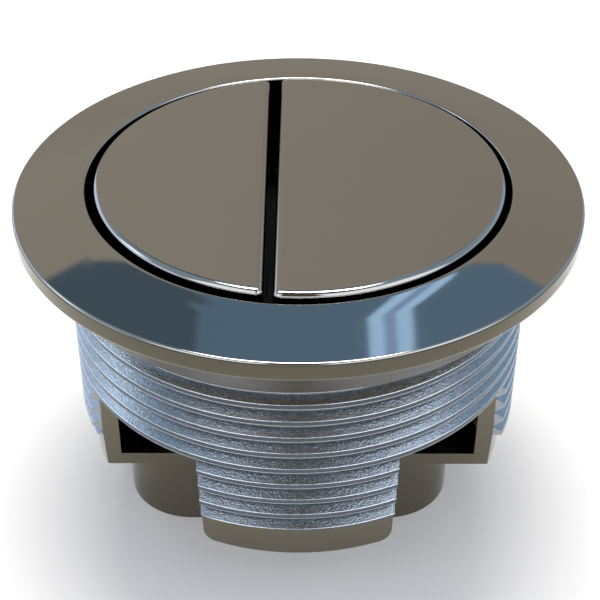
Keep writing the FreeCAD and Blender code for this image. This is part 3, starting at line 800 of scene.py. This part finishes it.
@dataclass(frozen=True)
class ThreadedShell:
    """The plated shell: flange, helical thread, four legs, windowed cradle and collar."""

    opening_radius: float = 26.85
    root_radius: float = 28.65
    crest_radius: float = 29.75
    leg_radius: float = 28.6
    leg_draft: float = 0.3
    cradle_radius: float = 27.65
    seat_radius: float = 31.7
    flange_radius: float = 35.985
    flange_height: float = 7.4
    rim_height: float = 2.15
    crown_top: float = 8.8
    thread_end: float = -23.85
    ring_end: float = -14.6
    leg_end: float = -29.3
    leg_root_half: float = 12.4
    leg_tip_half: float = 11.9
    root_fillet: float = 1.2
    corner_round: float = 1.5
    edge_round: float = 0.22
    seat_rounds: Point = (0.15, 0.12)
    rim_rounds: Point = (0.45, 0.4)
    opening_round: float = 0.3
    mask_spare: float = 0.01
    limits: PlateLimits = PlateLimits()
    steps: int = 384
    corner_steps: int = 7
    # The crown's arc inside a radius, as its level there, its slope and its bend.
    crown_radius: float = 30.0
    crown_step: float = 0.42
    crown_steps: int = 7
    crown_arc: tuple[float, float, float] = (8.383, 0.1638, 0.01044)
    # The thread's ridge, from inside the tube's wall to the crest.
    pitch: float = 2.5
    turns: float = 12.0
    ridge_start: float = -28.415
    ridge_root: float = 28.4
    ridge_height: float = 1.35
    ridge_foot: float = 2.486
    ridge_crest: float = 0.65
    crest_round: float = 0.17
    turn_steps: int = 128
    # The cradle between the side legs, and its windows.
    web_top: float = -10.6
    cradle_half_gap: float = 10.4
    floor_top: float = -27.4
    floor_bottom: float = -29.3
    window_half_length: float = 23.75
    window_top: float = -12.6
    window_round: float = 0.4
    # The collar and its bore: half lengths, half widths, and where they end.
    collar_middle: float = -1.3
    collar: Point = (22.95, 9.15)
    bore: Point = (21.55, 7.75)
    collar_end: float = -42.3
    collar_overlap: float = 0.4
    collar_steps: int = 48
    bore_spare: float = 0.7
    # The two holes in the floor, which the plungers pass through.
    hole_radius: float = 7.75
    hole_levels: Point = (-30.0, -26.0)
    hole_steps: int = 96
    # The bosses of the guide's screws.
    boss_offset: float = 23.4
    boss_radius: float = 3.0
    boss_bottom: float = -22.0
    boss_round: float = 0.15
    boss_steps: int = 64
    web_half: float = 1.5
    pilot_radius: float = 1.25
    pilot_bottom: float = -20.6
    pilot_steps: int = 32

    def turning(self) -> Solid:
        """Makes the flange, the seat and a plain tube.

        Returns:
            The turned solid.
        """
        level, slope, bend = self.crown_arc
        crown = []
        for step in range(self.crown_steps):
            inwards = self.crown_step * step
            height = level + slope * inwards - bend * inwards**2
            crown.append(Corner(self.crown_radius - inwards, height))
        outline = rounded(
            [
                Corner(self.opening_radius, self.leg_end),
                Corner(self.leg_radius - self.leg_draft, self.leg_end),
                Corner(self.leg_radius, self.thread_end),
                Corner(self.root_radius, self.thread_end),
                Corner(self.root_radius, 0.0, self.seat_rounds[0]),
                Corner(self.seat_radius, 0.0, self.seat_rounds[1]),
                Corner(
                    self.flange_radius, self.flange_height - self.rim_height, self.rim_rounds[0]
                ),
                Corner(self.flange_radius, self.flange_height, self.rim_rounds[1]),
                *crown,
                Corner(self.opening_radius, self.crown_top, self.opening_round),
            ],
            self.corner_steps,
        )
        return Solid.turned("threaded_shell_dressed", outline, self.steps)

    def mask(self, plane: Plane, corner_round: float) -> Solid:
        """Makes a T-shaped prism whose stem keeps two opposite legs.

        Args:
            plane: the plane that the T is drawn in.
            corner_round: the radius of the legs' lower corners.

        Returns:
            The prism.
        """
        head = self.flange_radius + 1
        top = self.crown_top + 1
        foot = self.leg_end - self.mask_spare
        outline = rounded(
            [
                Corner(-head, top),
                Corner(-head, self.ring_end),
                Corner(-self.leg_root_half, self.ring_end, self.root_fillet),
                Corner(-self.leg_tip_half, foot, corner_round),
                Corner(self.leg_tip_half, foot, corner_round),
                Corner(self.leg_root_half, self.ring_end, self.root_fillet),
                Corner(head, self.ring_end),
                Corner(head, top),
            ],
            self.corner_steps,
        )
        return Solid.prism("mask", outline, plane, -head, head)

    def masks(self) -> Solid:
        """Joins the two prisms that cut the tube into four legs."""
        front = self.mask(Plane.XZ, self.corner_round)
        return front.combine(Blend.JOIN, self.mask(Plane.YZ, 0.0))

    def ridge(self) -> Solid:
        """Makes the thread's ridge, cut off flat where the thread ends.

        Returns:
            The ridge.
        """
        ridge = HelicalRidge().make(
            "ridge",
            {
                "Root radius": self.ridge_root * MM,
                "Pitch": self.pitch * MM,
                "Turns": self.turns,
                "First level": self.ridge_start * MM,
                "First angle": 0.0,
                "Foot width": self.ridge_foot * MM,
                "Crest width": self.ridge_crest * MM,
                "Height": self.ridge_height * MM,
                "Crest rounding": self.crest_round * MM,
                "Steps each turn": self.turn_steps,
                "Finish": SATIN_PLATE.material(),
            },
        )
        reach, above = self.flange_radius, 3.0
        slab = rectangle(-reach, reach, self.thread_end, above)
        kept = Solid.prism("kept", slab, Plane.XZ, -reach, reach)
        return ridge.combine(Blend.KEEP, kept, self.masks())

    def cradle(self) -> Solid:
        """Makes the two windowed walls, the floor and the collar.

        Returns:
            The cradle.
        """
        reach, below, above = 40, -31, -9
        rim, gap = self.cradle_radius, self.cradle_half_gap
        outline = rounded(
            [
                Corner(-self.leg_root_half, self.ring_end),
                Corner(-self.leg_tip_half, self.leg_end),
                Corner(self.leg_tip_half, self.leg_end),
                Corner(self.leg_root_half, self.ring_end),
                Corner(self.leg_root_half, self.web_top),
                Corner(-self.leg_root_half, self.web_top),
            ]
        )
        block = Solid.prism("cradle", outline, Plane.YZ, -self.flange_radius, self.flange_radius)
        trim = Solid.turned("trim", rectangle(0, rim, below, above), self.steps)
        room = rectangle(-reach, reach, -gap, gap)
        hollow = Solid.prism("hollow", room, Plane.XY, self.floor_top, above)
        opening = rounded(
            [
                Corner(-self.window_half_length, self.floor_top),
                Corner(self.window_half_length, self.floor_top),
                Corner(self.window_half_length, self.window_top, self.window_round),
                Corner(-self.window_half_length, self.window_top, self.window_round),
            ]
        )
        window = Solid.prism("window", opening, Plane.XZ, -reach, reach)
        block.combine(Blend.KEEP, trim).combine(Blend.CUT, hollow, window)
        root = self.floor_bottom + self.collar_overlap
        collar = self.obround("collar", self.collar, self.collar_end, root)
        bore_end = self.collar_end - self.bore_spare
        bore = self.obround("bore", self.bore, bore_end, self.floor_bottom)
        drill = rectangle(0, self.hole_radius, *self.hole_levels)
        holes = [
            Solid.turned("hole", drill, self.hole_steps, (side.plunger, 0.0)) for side in Side
        ]
        block.combine(Blend.JOIN, collar).combine(Blend.CUT, bore, *holes)
        return block.soften(self.edge_round)

    def obround(self, name: str, half: Point, low: float, high: float) -> Solid:
        """Makes an upright bar with straight sides along X and round ends.

        Args:
            name: the solid's name.
            half: from the middle to an end, and to a side.
            low: the lower level.
            high: the upper level.

        Returns:
            The bar.
        """
        half_length, radius = half
        steps = self.collar_steps
        outline = []
        for side, start in ((1, -90), (-1, 90)):
            middle = self.collar_middle + side * (half_length - radius)
            for step in range(steps + 1):
                angle = math.radians(start + 180 * step / steps)
                outline.append((middle + radius * math.cos(angle), radius * math.sin(angle)))
        return Solid.prism(name, outline, Plane.XY, low, high)

    def boss(self, side: int) -> Solid:
        """Makes the boss for a guide screw and its web to the leg.

        Args:
            side: -1 for the front, 1 for the rear.

        Returns:
            The boss.
        """
        centre = (0.0, self.boss_offset * side)
        low, high, above = self.boss_bottom, self.web_top, -9
        post = rectangle(0, self.boss_radius, low, high)
        column = Solid.turned("boss", post, self.boss_steps, centre)
        near, far = sorted((centre[1], self.cradle_radius * side))
        web_outline = rectangle(-self.web_half, self.web_half, near, far)
        web = Solid.prism("web", web_outline, Plane.XY, low, high)
        drill = rectangle(0, self.pilot_radius, self.pilot_bottom, above)
        pilot = Solid.turned("pilot", drill, self.pilot_steps, centre)
        return column.combine(Blend.JOIN, web).combine(Blend.CUT, pilot).soften(self.boss_round)

    def build(self) -> None:
        """Makes the shell, finishes it and hands it over."""
        shell = self.turning().combine(Blend.KEEP, self.masks()).soften(self.edge_round)
        shell.combine(Blend.JOIN, self.ridge(), self.cradle(), self.boss(-1), self.boss(1))
        self.dress(shell)
        show(shell, "housing", ["threaded_shell"])

    def dress(self, shell: Solid) -> None:
        """Plates the shell: bright on the flange, satin on the thread, with painted shade below and
        under the flange, painted dark reflections on the rim and the crest, and painted highlights
        on the crest's edges.

        Args:
            shell: the whole shell.
        """
        shell.dress(*(plate.value for plate in Plate))
        shell.paint(lambda centre, normal: list(Plate).index(self.plate(centre, normal)))
        shell.smooth()

    def plate(self, centre: Vector, normal: Vector) -> Plate:
        """Says which plate a face has, and so where painted shade, painted dark reflections and
        painted highlights go.

        Args:
            centre: the face's centre, in millimetres.
            normal: its normal. A face's slope is read from the normal's upward share.

        Returns:
            The plate.
        """
        limits, slope = self.limits, normal.z
        outside = math.hypot(centre.x, centre.y)
        on_rim = outside > self.flange_radius - limits.rim_depth
        # The rim's wall gets the painted dark reflection.
        if on_rim and abs(slope) < limits.rim_slope:
            return Plate.RIM
        if on_rim or centre.z > self.flange_height - limits.top_depth:
            return Plate.BRIGHT
        below_seat = centre.z < -limits.seat_depth
        # The flange's underside gets the painted shade.
        if outside > self.crest_radius and not below_seat:
            return Plate.CONE
        threaded = below_seat and centre.z > self.thread_end - limits.margin
        # What lies below the thread or inside the shell gets the painted shade.
        if outside < self.leg_radius - limits.margin or not threaded:
            return Plate.DULL
        if outside < self.crest_radius - limits.crest_depth or abs(slope) > limits.side_slope:
            return Plate.SATIN
        # The crest's upper and lower edges get the painted highlight.
        low, high = limits.lower_edge_slopes
        edge = slope > limits.upper_edge_slope or low < slope < high
        # Crest flats get the painted dark reflection.
        return Plate.EDGE if edge else Plate.CREST


@dataclass(frozen=True)
class ButtonCap:
    """A D-shaped cap with a rounded top edge, hollow and ribbed below."""

    side: Side
    radius: float
    straight: float
    play: Point
    turn: float = 0.0
    top: float = 9.07
    bottom: float = -0.43
    ceiling: float = 7.27
    wall: float = 1.6
    edge_round: float = 0.82
    corner_round: float = 0.75
    least_corner: float = 0.02
    foot_chamfer: float = 0.15
    arc_steps: int = 180
    corner_steps: int = 6
    crown_steps: int = 7
    # Ribs, boss and socket below the roof.
    rib_half: float = 0.6
    rib_bottom: float = 4.27
    rib_share: float = 0.6
    root: float = 8.2
    boss_radius: float = 5.2
    boss_bottom: float = -0.63
    socket_radius: float = 3.5
    socket_bottom: float = -1.0
    socket_top: float = 5.57
    boss_steps: int = 64

    def outline(self, inset: float) -> Outline:
        """Draws the D where its play in the guide has left it, shrunk by an inset.

        Args:
            inset: how far every side moves inwards.

        Returns:
            The outline, with the same number of points for every inset.
        """
        sign = self.side.sign
        chord = (self.straight - self.play[0]) * sign + inset
        radius = self.radius - inset
        corner = max(self.corner_round - inset, self.least_corner)
        height = math.sqrt((radius - corner) ** 2 - (chord + corner) ** 2)
        reach = math.atan2(height, chord + corner)
        bends: dict[int, Outline] = {-1: [], 1: []}
        for side, start in ((-1, math.pi), (1, reach)):
            for step in range(self.corner_steps + 1):
                angle = start + (math.pi - reach) * step / self.corner_steps
                across = chord + corner * (1 + math.cos(angle))
                bends[side].append((across, side * height + corner * math.sin(angle)))
        arc = []
        for step in range(1, self.arc_steps):
            angle = -reach + 2 * reach * step / self.arc_steps
            arc.append((radius * math.cos(angle), radius * math.sin(angle)))
        lean = math.radians(self.turn)
        shift, slide = self.play
        return [
            (shift + across * sign - along * lean, slide + along + across * sign * lean)
            for across, along in (*bends[-1], *arc, *bends[1])
        ]

    def loft(self, name: str, levels: Sequence[Point]) -> Solid:
        """Stacks D outlines into a solid.

        Args:
            name: the solid's name.
            levels: an inset and a level for each outline, in order.

        Returns:
            The closed solid.
        """
        points = [
            Vector((across, along, level))
            for inset, level in levels
            for across, along in self.outline(inset)
        ]
        count = len(points) // len(levels)
        faces = [tuple(range(count)), tuple(range(len(points) - count, len(points)))]
        for ring in range(len(levels) - 1):
            low, high = ring * count, (ring + 1) * count
            for index in range(count):
                after = (index + 1) % count
                faces.append((low + index, low + after, high + after, high + index))
        return Solid.from_faces(name, points, faces)

    def build(self) -> None:
        """Makes the cap, finishes it and hands it over."""
        steps, chamfer = self.crown_steps, self.foot_chamfer
        skin = [(chamfer, self.bottom), (0.0, self.bottom + chamfer)]
        for step in range(steps + 1):
            angle = math.pi / 2 * step / steps
            inset = self.edge_round * (1 - math.cos(angle))
            skin.append((inset, self.top - self.edge_round * (1 - math.sin(angle))))
        cap = self.loft(f"{self.side.label}_cap_dressed", skin)
        room = self.loft("room", [(self.wall, self.bottom - 1), (self.wall, self.ceiling)])
        cap.combine(Blend.CUT, room)
        near = self.straight + self.side.sign * self.wall / 2
        far = self.side.sign * (self.radius - self.wall / 2)
        left, right = sorted((near, far))
        half, span = self.rib_half, (self.radius - self.wall) * self.rib_share
        plunger, levels = self.side.plunger, (self.rib_bottom, self.root)
        long_rib = Solid.prism("rib", rectangle(left, right, -half, half), Plane.XY, *levels)
        bar = rectangle(plunger - half, plunger + half, -span, span)
        cross_rib = Solid.prism("rib", bar, Plane.XY, *levels)
        post = rectangle(0, self.boss_radius, self.boss_bottom, self.root)
        boss = Solid.turned("boss", post, self.boss_steps, (plunger, 0.0))
        drill = rectangle(0, self.socket_radius, self.socket_bottom, self.socket_top)
        socket = Solid.turned("socket", drill, self.boss_steps, (plunger, 0.0))
        cap.combine(Blend.JOIN, long_rib, cross_rib, boss).combine(Blend.CUT, socket)
        cap.dress(PLATE).smooth()
        show(cap, self.side.body, [f"{self.side.label}_cap"])


@dataclass(frozen=True)
class ReturnSpring:
    """The coil spring under a button, built at one length; the real one shortens as the button goes
    down.
    """

    side: Side
    tree: CoilSpring
    low: float = -23.98
    high: float = -2.25
    travel: float = 7.0
    coil_radius: float = 7.8
    wire_radius: float = 0.45
    active_turns: float = 4.5
    ground_depth: float = 0.25
    steps: int = 420
    wire_sides: int = 14
    sharp_angle: float = 50.0

    def build(self) -> None:
        """Makes the spring, finishes it and hands it over."""
        spring = self.tree.make(
            f"{self.side.label}_spring_dressed",
            {
                "Coil radius": self.coil_radius * MM,
                "Wire radius": self.wire_radius * MM,
                "Active turns": self.active_turns,
                "Low end": self.low * MM,
                "High end": self.high * MM,
                "Ground depth": self.ground_depth * MM,
                "Centre": self.side.plunger * MM,
                "Steps": self.steps,
                "Wire sides": self.wire_sides,
                "Finish": SPRING_STEEL.material(),
            },
        )
        spring.smooth(self.sharp_angle)
        show(spring, "housing", [f"{self.side.label}_spring"])
        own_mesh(spring.item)


@dataclass(frozen=True)
class CarriedPiece:
    """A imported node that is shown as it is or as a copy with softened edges."""

    node: str
    body: str
    slot: str
    finish: Finish
    softening: float = 0.0

    def build(self, nodes: dict[str, bpy.types.Object]) -> None:
        """Dresses the node, or its softened copy.

        Args:
            nodes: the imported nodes, by name.
        """
        node = nodes[self.node]
        node.data.materials.clear()
        node.data.materials.append(self.finish.material())
        if not self.softening:
            LOG.info("%s keeps its packed shape", self.node)
            return
        piece = Solid.from_node(f"{self.node}_dressed", node)
        piece.soften(self.softening).dress(self.finish).smooth()
        show(piece, self.body, [self.node])


@dataclass(frozen=True)
class SoftBox:
    """A rectangular lamp; lengths are in millimetres, angles in degrees and the power in watts.

    Its way is the azimuth from +Y towards +X, and the elevation.
    """

    way: Point
    distance: float
    size: Point
    power: float
    colour: Colour
    target: tuple[float, float, float] = (0, 0, 0)
    spread: float = 180


@dataclass(frozen=True)
class PaperSweep:
    """The floor, white round the object as a painted pool of light and painted greyer further out;
    lengths are in metres.

    The painted pool is an oval behind the object's middle, with half widths along X and Y, and
    the floor is painted grey from its fade, a multiple of them, outwards.
    """

    # White of the painted pool of light, and the painted shade of grey beyond it.
    white: Colour = (0.965, 0.905, 0.845)
    grey: Colour = (0.44, 0.405, 0.34)
    centre: float = 0.085
    half_across: float = 0.086
    half_along: float = 0.113
    fade: float = 1.7
    fibre_scale: float = 300.0
    roughness: Point = (0.7, 0.85)

    def material(self) -> bpy.types.Material:
        """Makes the floor's material, with its painted pool of light.

        Returns:
            The material.
        """
        made = bpy.data.materials.new("floor_painted_pool")
        made.use_nodes = True
        sheet = Sheet(made.node_tree)
        place = sheet.add("ShaderNodeTexCoord").outputs["Object"]
        parts = sheet.add("ShaderNodeSeparateXYZ", {0: place}).outputs
        across = sheet.math("DIVIDE", parts[0], self.half_across)
        behind = sheet.math("SUBTRACT", parts[1], self.centre)
        along = sheet.math("DIVIDE", behind, self.half_along)
        squares = (sheet.math("POWER", share, 2.0) for share in (across, along))
        square = sheet.math("ADD", *squares)
        # The white oval is a painted pool of light; the grey beyond it is painted shade.
        ramp = sheet.add(
            "ShaderNodeMapRange",
            {"Value": sheet.math("SQRT", square), "From Min": 1.0, "From Max": self.fade},
            interpolation_type="SMOOTHSTEP",
        )
        fibre = sheet.add(
            "ShaderNodeTexNoise", {"Vector": place, "Scale": self.fibre_scale, "Detail": 3.0}
        )
        tone = sheet.add(
            "ShaderNodeMix",
            {"Factor": ramp.outputs[0], 6: (*self.white, 1.0), 7: (*self.grey, 1.0)},
            data_type="RGBA",
        )
        rough = sheet.add(
            "ShaderNodeMapRange",
            {
                "Value": fibre.outputs[0],
                "To Min": self.roughness[0],
                "To Max": self.roughness[1],
            },
        )
        shader = sheet.add(
            "ShaderNodeBsdfPrincipled",
            {"Base Color": tone.outputs[2], "Roughness": rough.outputs[0]},
        )
        sheet.add("ShaderNodeOutputMaterial", {"Surface": shader.outputs[0]})
        return made


@dataclass(frozen=True)
class Glow:
    """A patch of the room's light between two azimuths and two elevations, in degrees.

    Azimuths turn from the rear, or from the front, towards +X. A limit of 200 or -200 is never
    reached, and the blur is half the width over which the patch fades in.
    """

    azimuth: Point
    elevation: Point
    colour: Colour
    blur: float = 0.3
    front: bool = False


# The wide tones come first and the narrow strips that the plate mirrors lie over them.
ROOM_TONE = (0.49, 0.452, 0.395)
ROOM = (
    Glow((0, 200), (-200, 200), (0.44, 0.40, 0.352), 12),
    Glow((-200, 200), (41.3, 200), (0.18, 0.30, 0.44)),
    Glow((-23.9, -14.8), (41.3, 200), (0.111, 0.171, 0.231), 0.6),
    Glow((-60, -23.9), (40.2, 200), (0.111, 0.171, 0.231), 0.6),
    Glow((-60, -11), (41.3, 50), (0.111, 0.171, 0.231), 1.2),
    Glow((10.8, 16.5), (43, 57.5), (0.38, 0.59, 0.98), 0.5),
    Glow((10.8, 12.9), (43, 57.5), (0.70, 1.10, 1.60), 0.5),
    Glow((14.5, 16.5), (43, 57.5), (0.70, 1.10, 1.60), 0.5),
    Glow((32, 200), (25, 200), (0.40, 0.52, 0.64), 4),
    Glow((-200, -32), (25, 200), (0.40, 0.52, 0.64), 4),
    Glow((32, 200), (-200, 25), (0.50, 0.70, 0.95), 4),
    Glow((-200, -32), (-200, 25), (1.05, 1.26, 1.62), 4),
    Glow((-60, 60), (-200, 90), (0.13, 0.12, 0.105), 8, front=True),
    Glow((-60, 82), (15, 58), (1.75, 1.84, 2.04), 4, front=True),
    Glow((-14, 12), (26, 90), (0.12, 0.112, 0.10), 4, front=True),
    Glow((-30, 30), (-200, 20), (0.42, 0.385, 0.335), 6),
)


class Studio:
    """The floor, the light and the camera, as the photo has them."""

    floor_level = ThreadedShell.collar_end
    floor_reach = 3000
    floor_thickness = 10
    camera_lens = 84.76
    camera_sensor = 36.0
    camera_near = 0.01
    camera_place = (0.0, -153.0, 102.2)
    # How far the camera looks down, turns and rolls, in degrees.
    camera_down = 36.38
    camera_turn = -0.094
    camera_roll = 0.18

    def build(self) -> None:
        """Sets up everything round the object."""
        self.lay_floor()
        self.light_room()
        self.hang_lamps()
        self.place_camera()

    def lay_floor(self) -> None:
        """Lays a wide floor under the collar, with a painted pool of light round the object."""
        reach, top = self.floor_reach, self.floor_level
        square = rectangle(-reach, reach, -reach, reach)
        floor = Solid.prism("floor", square, Plane.XY, top - self.floor_thickness, top)
        floor.item.data.materials.append(PaperSweep().material())

    def light_room(self) -> None:
        """Colours the room by direction, from the wide tones to the narrow strips."""
        world = bpy.data.worlds.new("room")
        bpy.context.scene.world = world
        world.use_nodes = True
        sheet = Sheet(world.node_tree)
        way = sheet.add("ShaderNodeTexCoord").outputs["Generated"]
        parts = sheet.add("ShaderNodeSeparateXYZ", {0: way}).outputs
        elevation = sheet.math("ARCSINE", parts[2])
        rear = sheet.math("ARCTAN2", parts[0], parts[1])
        front = sheet.math("ARCTAN2", parts[0], sheet.math("MULTIPLY", parts[1], -1.0))
        tone = (*ROOM_TONE, 1.0)
        for glow in ROOM:
            across = self.between(sheet, front if glow.front else rear, glow.azimuth, glow.blur)
            upright = self.between(sheet, elevation, glow.elevation, glow.blur)
            share = sheet.math("MULTIPLY", across, upright)
            mix = sheet.add(
                "ShaderNodeMix",
                {"Factor": share, 6: tone, 7: (*glow.colour, 1.0)},
                data_type="RGBA",
            )
            tone = mix.outputs[2]
        light = sheet.add("ShaderNodeBackground", {"Color": tone, "Strength": 1.0})
        sheet.add("ShaderNodeOutputWorld", {"Surface": light.outputs[0]})

    def between(
        self, sheet: Sheet, value: bpy.types.NodeSocket, limits: Point, blur: float
    ) -> bpy.types.NodeSocket:
        """Gives 1 where an angle lies between two limits, and 0 elsewhere.

        Args:
            sheet: the tree to work in.
            value: the angle, in radians.
            limits: the two limits, in degrees.
            blur: half the width of the change at each limit, in degrees.

        Returns:
            The share, from 0 to 1.
        """
        shares = []
        for limit, inside, outside in ((limits[0], 1.0, 0.0), (limits[1], 0.0, 1.0)):
            step = {
                "Value": value,
                "From Min": math.radians(limit - blur),
                "From Max": math.radians(limit + blur),
                "To Min": outside,
                "To Max": inside,
            }
            ramp = sheet.add("ShaderNodeMapRange", step, interpolation_type="SMOOTHSTEP")
            shares.append(ramp.outputs[0])
        return sheet.math("MULTIPLY", *shares)

    def hang_lamps(self) -> None:
        """Hangs a soft box overhead, towards the rear, and a weaker one on the left."""
        overhead = SoftBox(
            way=(0, 81),
            distance=700,
            size=(400, 240),
            power=0.9,
            colour=(1.0, 0.99, 0.97),
            target=(0, 60, -42),
            spread=80,
        )
        left = SoftBox(
            way=(-80, 30), distance=700, size=(200, 200), power=0.24, colour=(0.8, 0.9, 1.0)
        )
        self.lamp("overhead", overhead)
        self.lamp("left", left)

    def lamp(self, name: str, box: SoftBox) -> None:
        """Hangs a soft box.

        Args:
            name: the lamp's name.
            box: where it hangs, how large and how bright it is.
        """
        azimuth, elevation = (math.radians(angle) for angle in box.way)
        spot = Vector(
            (
                math.sin(azimuth) * math.cos(elevation),
                math.cos(azimuth) * math.cos(elevation),
                math.sin(elevation),
            )
        )
        data = bpy.data.lights.new(name, "AREA")
        data.shape = "RECTANGLE"
        data.size, data.size_y = box.size[0] * MM, box.size[1] * MM
        data.energy = box.power
        data.color = box.colour
        data.spread = math.radians(box.spread)
        item = bpy.data.objects.new(name, data)
        item.location = spot * box.distance * MM
        aim = item.location - Vector(box.target) * MM
        item.rotation_euler = aim.to_track_quat("Z", "Y").to_euler()
        bpy.context.scene.collection.objects.link(item)

    def place_camera(self) -> None:
        """Puts the camera where the photo was taken from."""
        scene = bpy.context.scene
        data = bpy.data.cameras.new("photo_camera")
        data.lens = self.camera_lens
        data.sensor_width = self.camera_sensor
        data.clip_start = self.camera_near
        item = bpy.data.objects.new("photo_camera", data)
        item.location = Vector(self.camera_place) * MM
        tilt = Matrix.Rotation(math.radians(90 - self.camera_down), 4, "X")
        turn = Matrix.Rotation(math.radians(self.camera_turn), 4, "Z")
        roll = Matrix.Rotation(math.radians(self.camera_roll), 4, "Z")
        item.matrix_world = Matrix.Translation(item.location) @ turn @ tilt @ roll
        scene.collection.objects.link(item)
        scene.camera = item
        scene.view_settings.view_transform = "Standard"


def main() -> None:
    """Builds every piece."""
    logging.basicConfig(level=logging.INFO, format="%(name)s: %(message)s")
    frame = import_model()
    nodes = frame["nodes"]
    ThreadedShell().build()
    coil = CoilSpring()
    caps = (
        ButtonCap(Side.HALF, radius=25.85, straight=-3.95, play=(-0.1, 0.5)),
        ButtonCap(Side.FULL, radius=26.0, straight=-2.69, play=(0.25, 0.45), turn=-0.42),
    )
    for cap in caps:
        side = cap.side
        cap.build()
        ReturnSpring(side, coil).build()
        for piece, slot, finish, softening in (
            ("slider", "black_slider", SLIDER_BLACK, 0.2),
            ("stop_bumper", "soft_rubber", RUBBER, 0.15),
            ("retaining_clip", "clip_steel", CLIP_STEEL, 0.08),
            ("adjusting_rod", "natural_nylon", NYLON, 0.0),
            ("jam_nut", "natural_nylon", NYLON, 0.2),
            ("foot", "soft_rubber", RUBBER, 0.25),
        ):
            CarriedPiece(f"{side.label}_{piece}", side.body, slot, finish, softening).build(nodes)
    CarriedPiece("guide_block", "housing", "black_guide", GUIDE_BLACK, 0.2).build(nodes)
    for screw in ("front_guide_screw", "rear_guide_screw"):
        CarriedPiece(screw, "housing", "screw_steel", SCREW_STEEL).build(nodes)
    Studio().build()


if __name__ == "__main__":
    main()
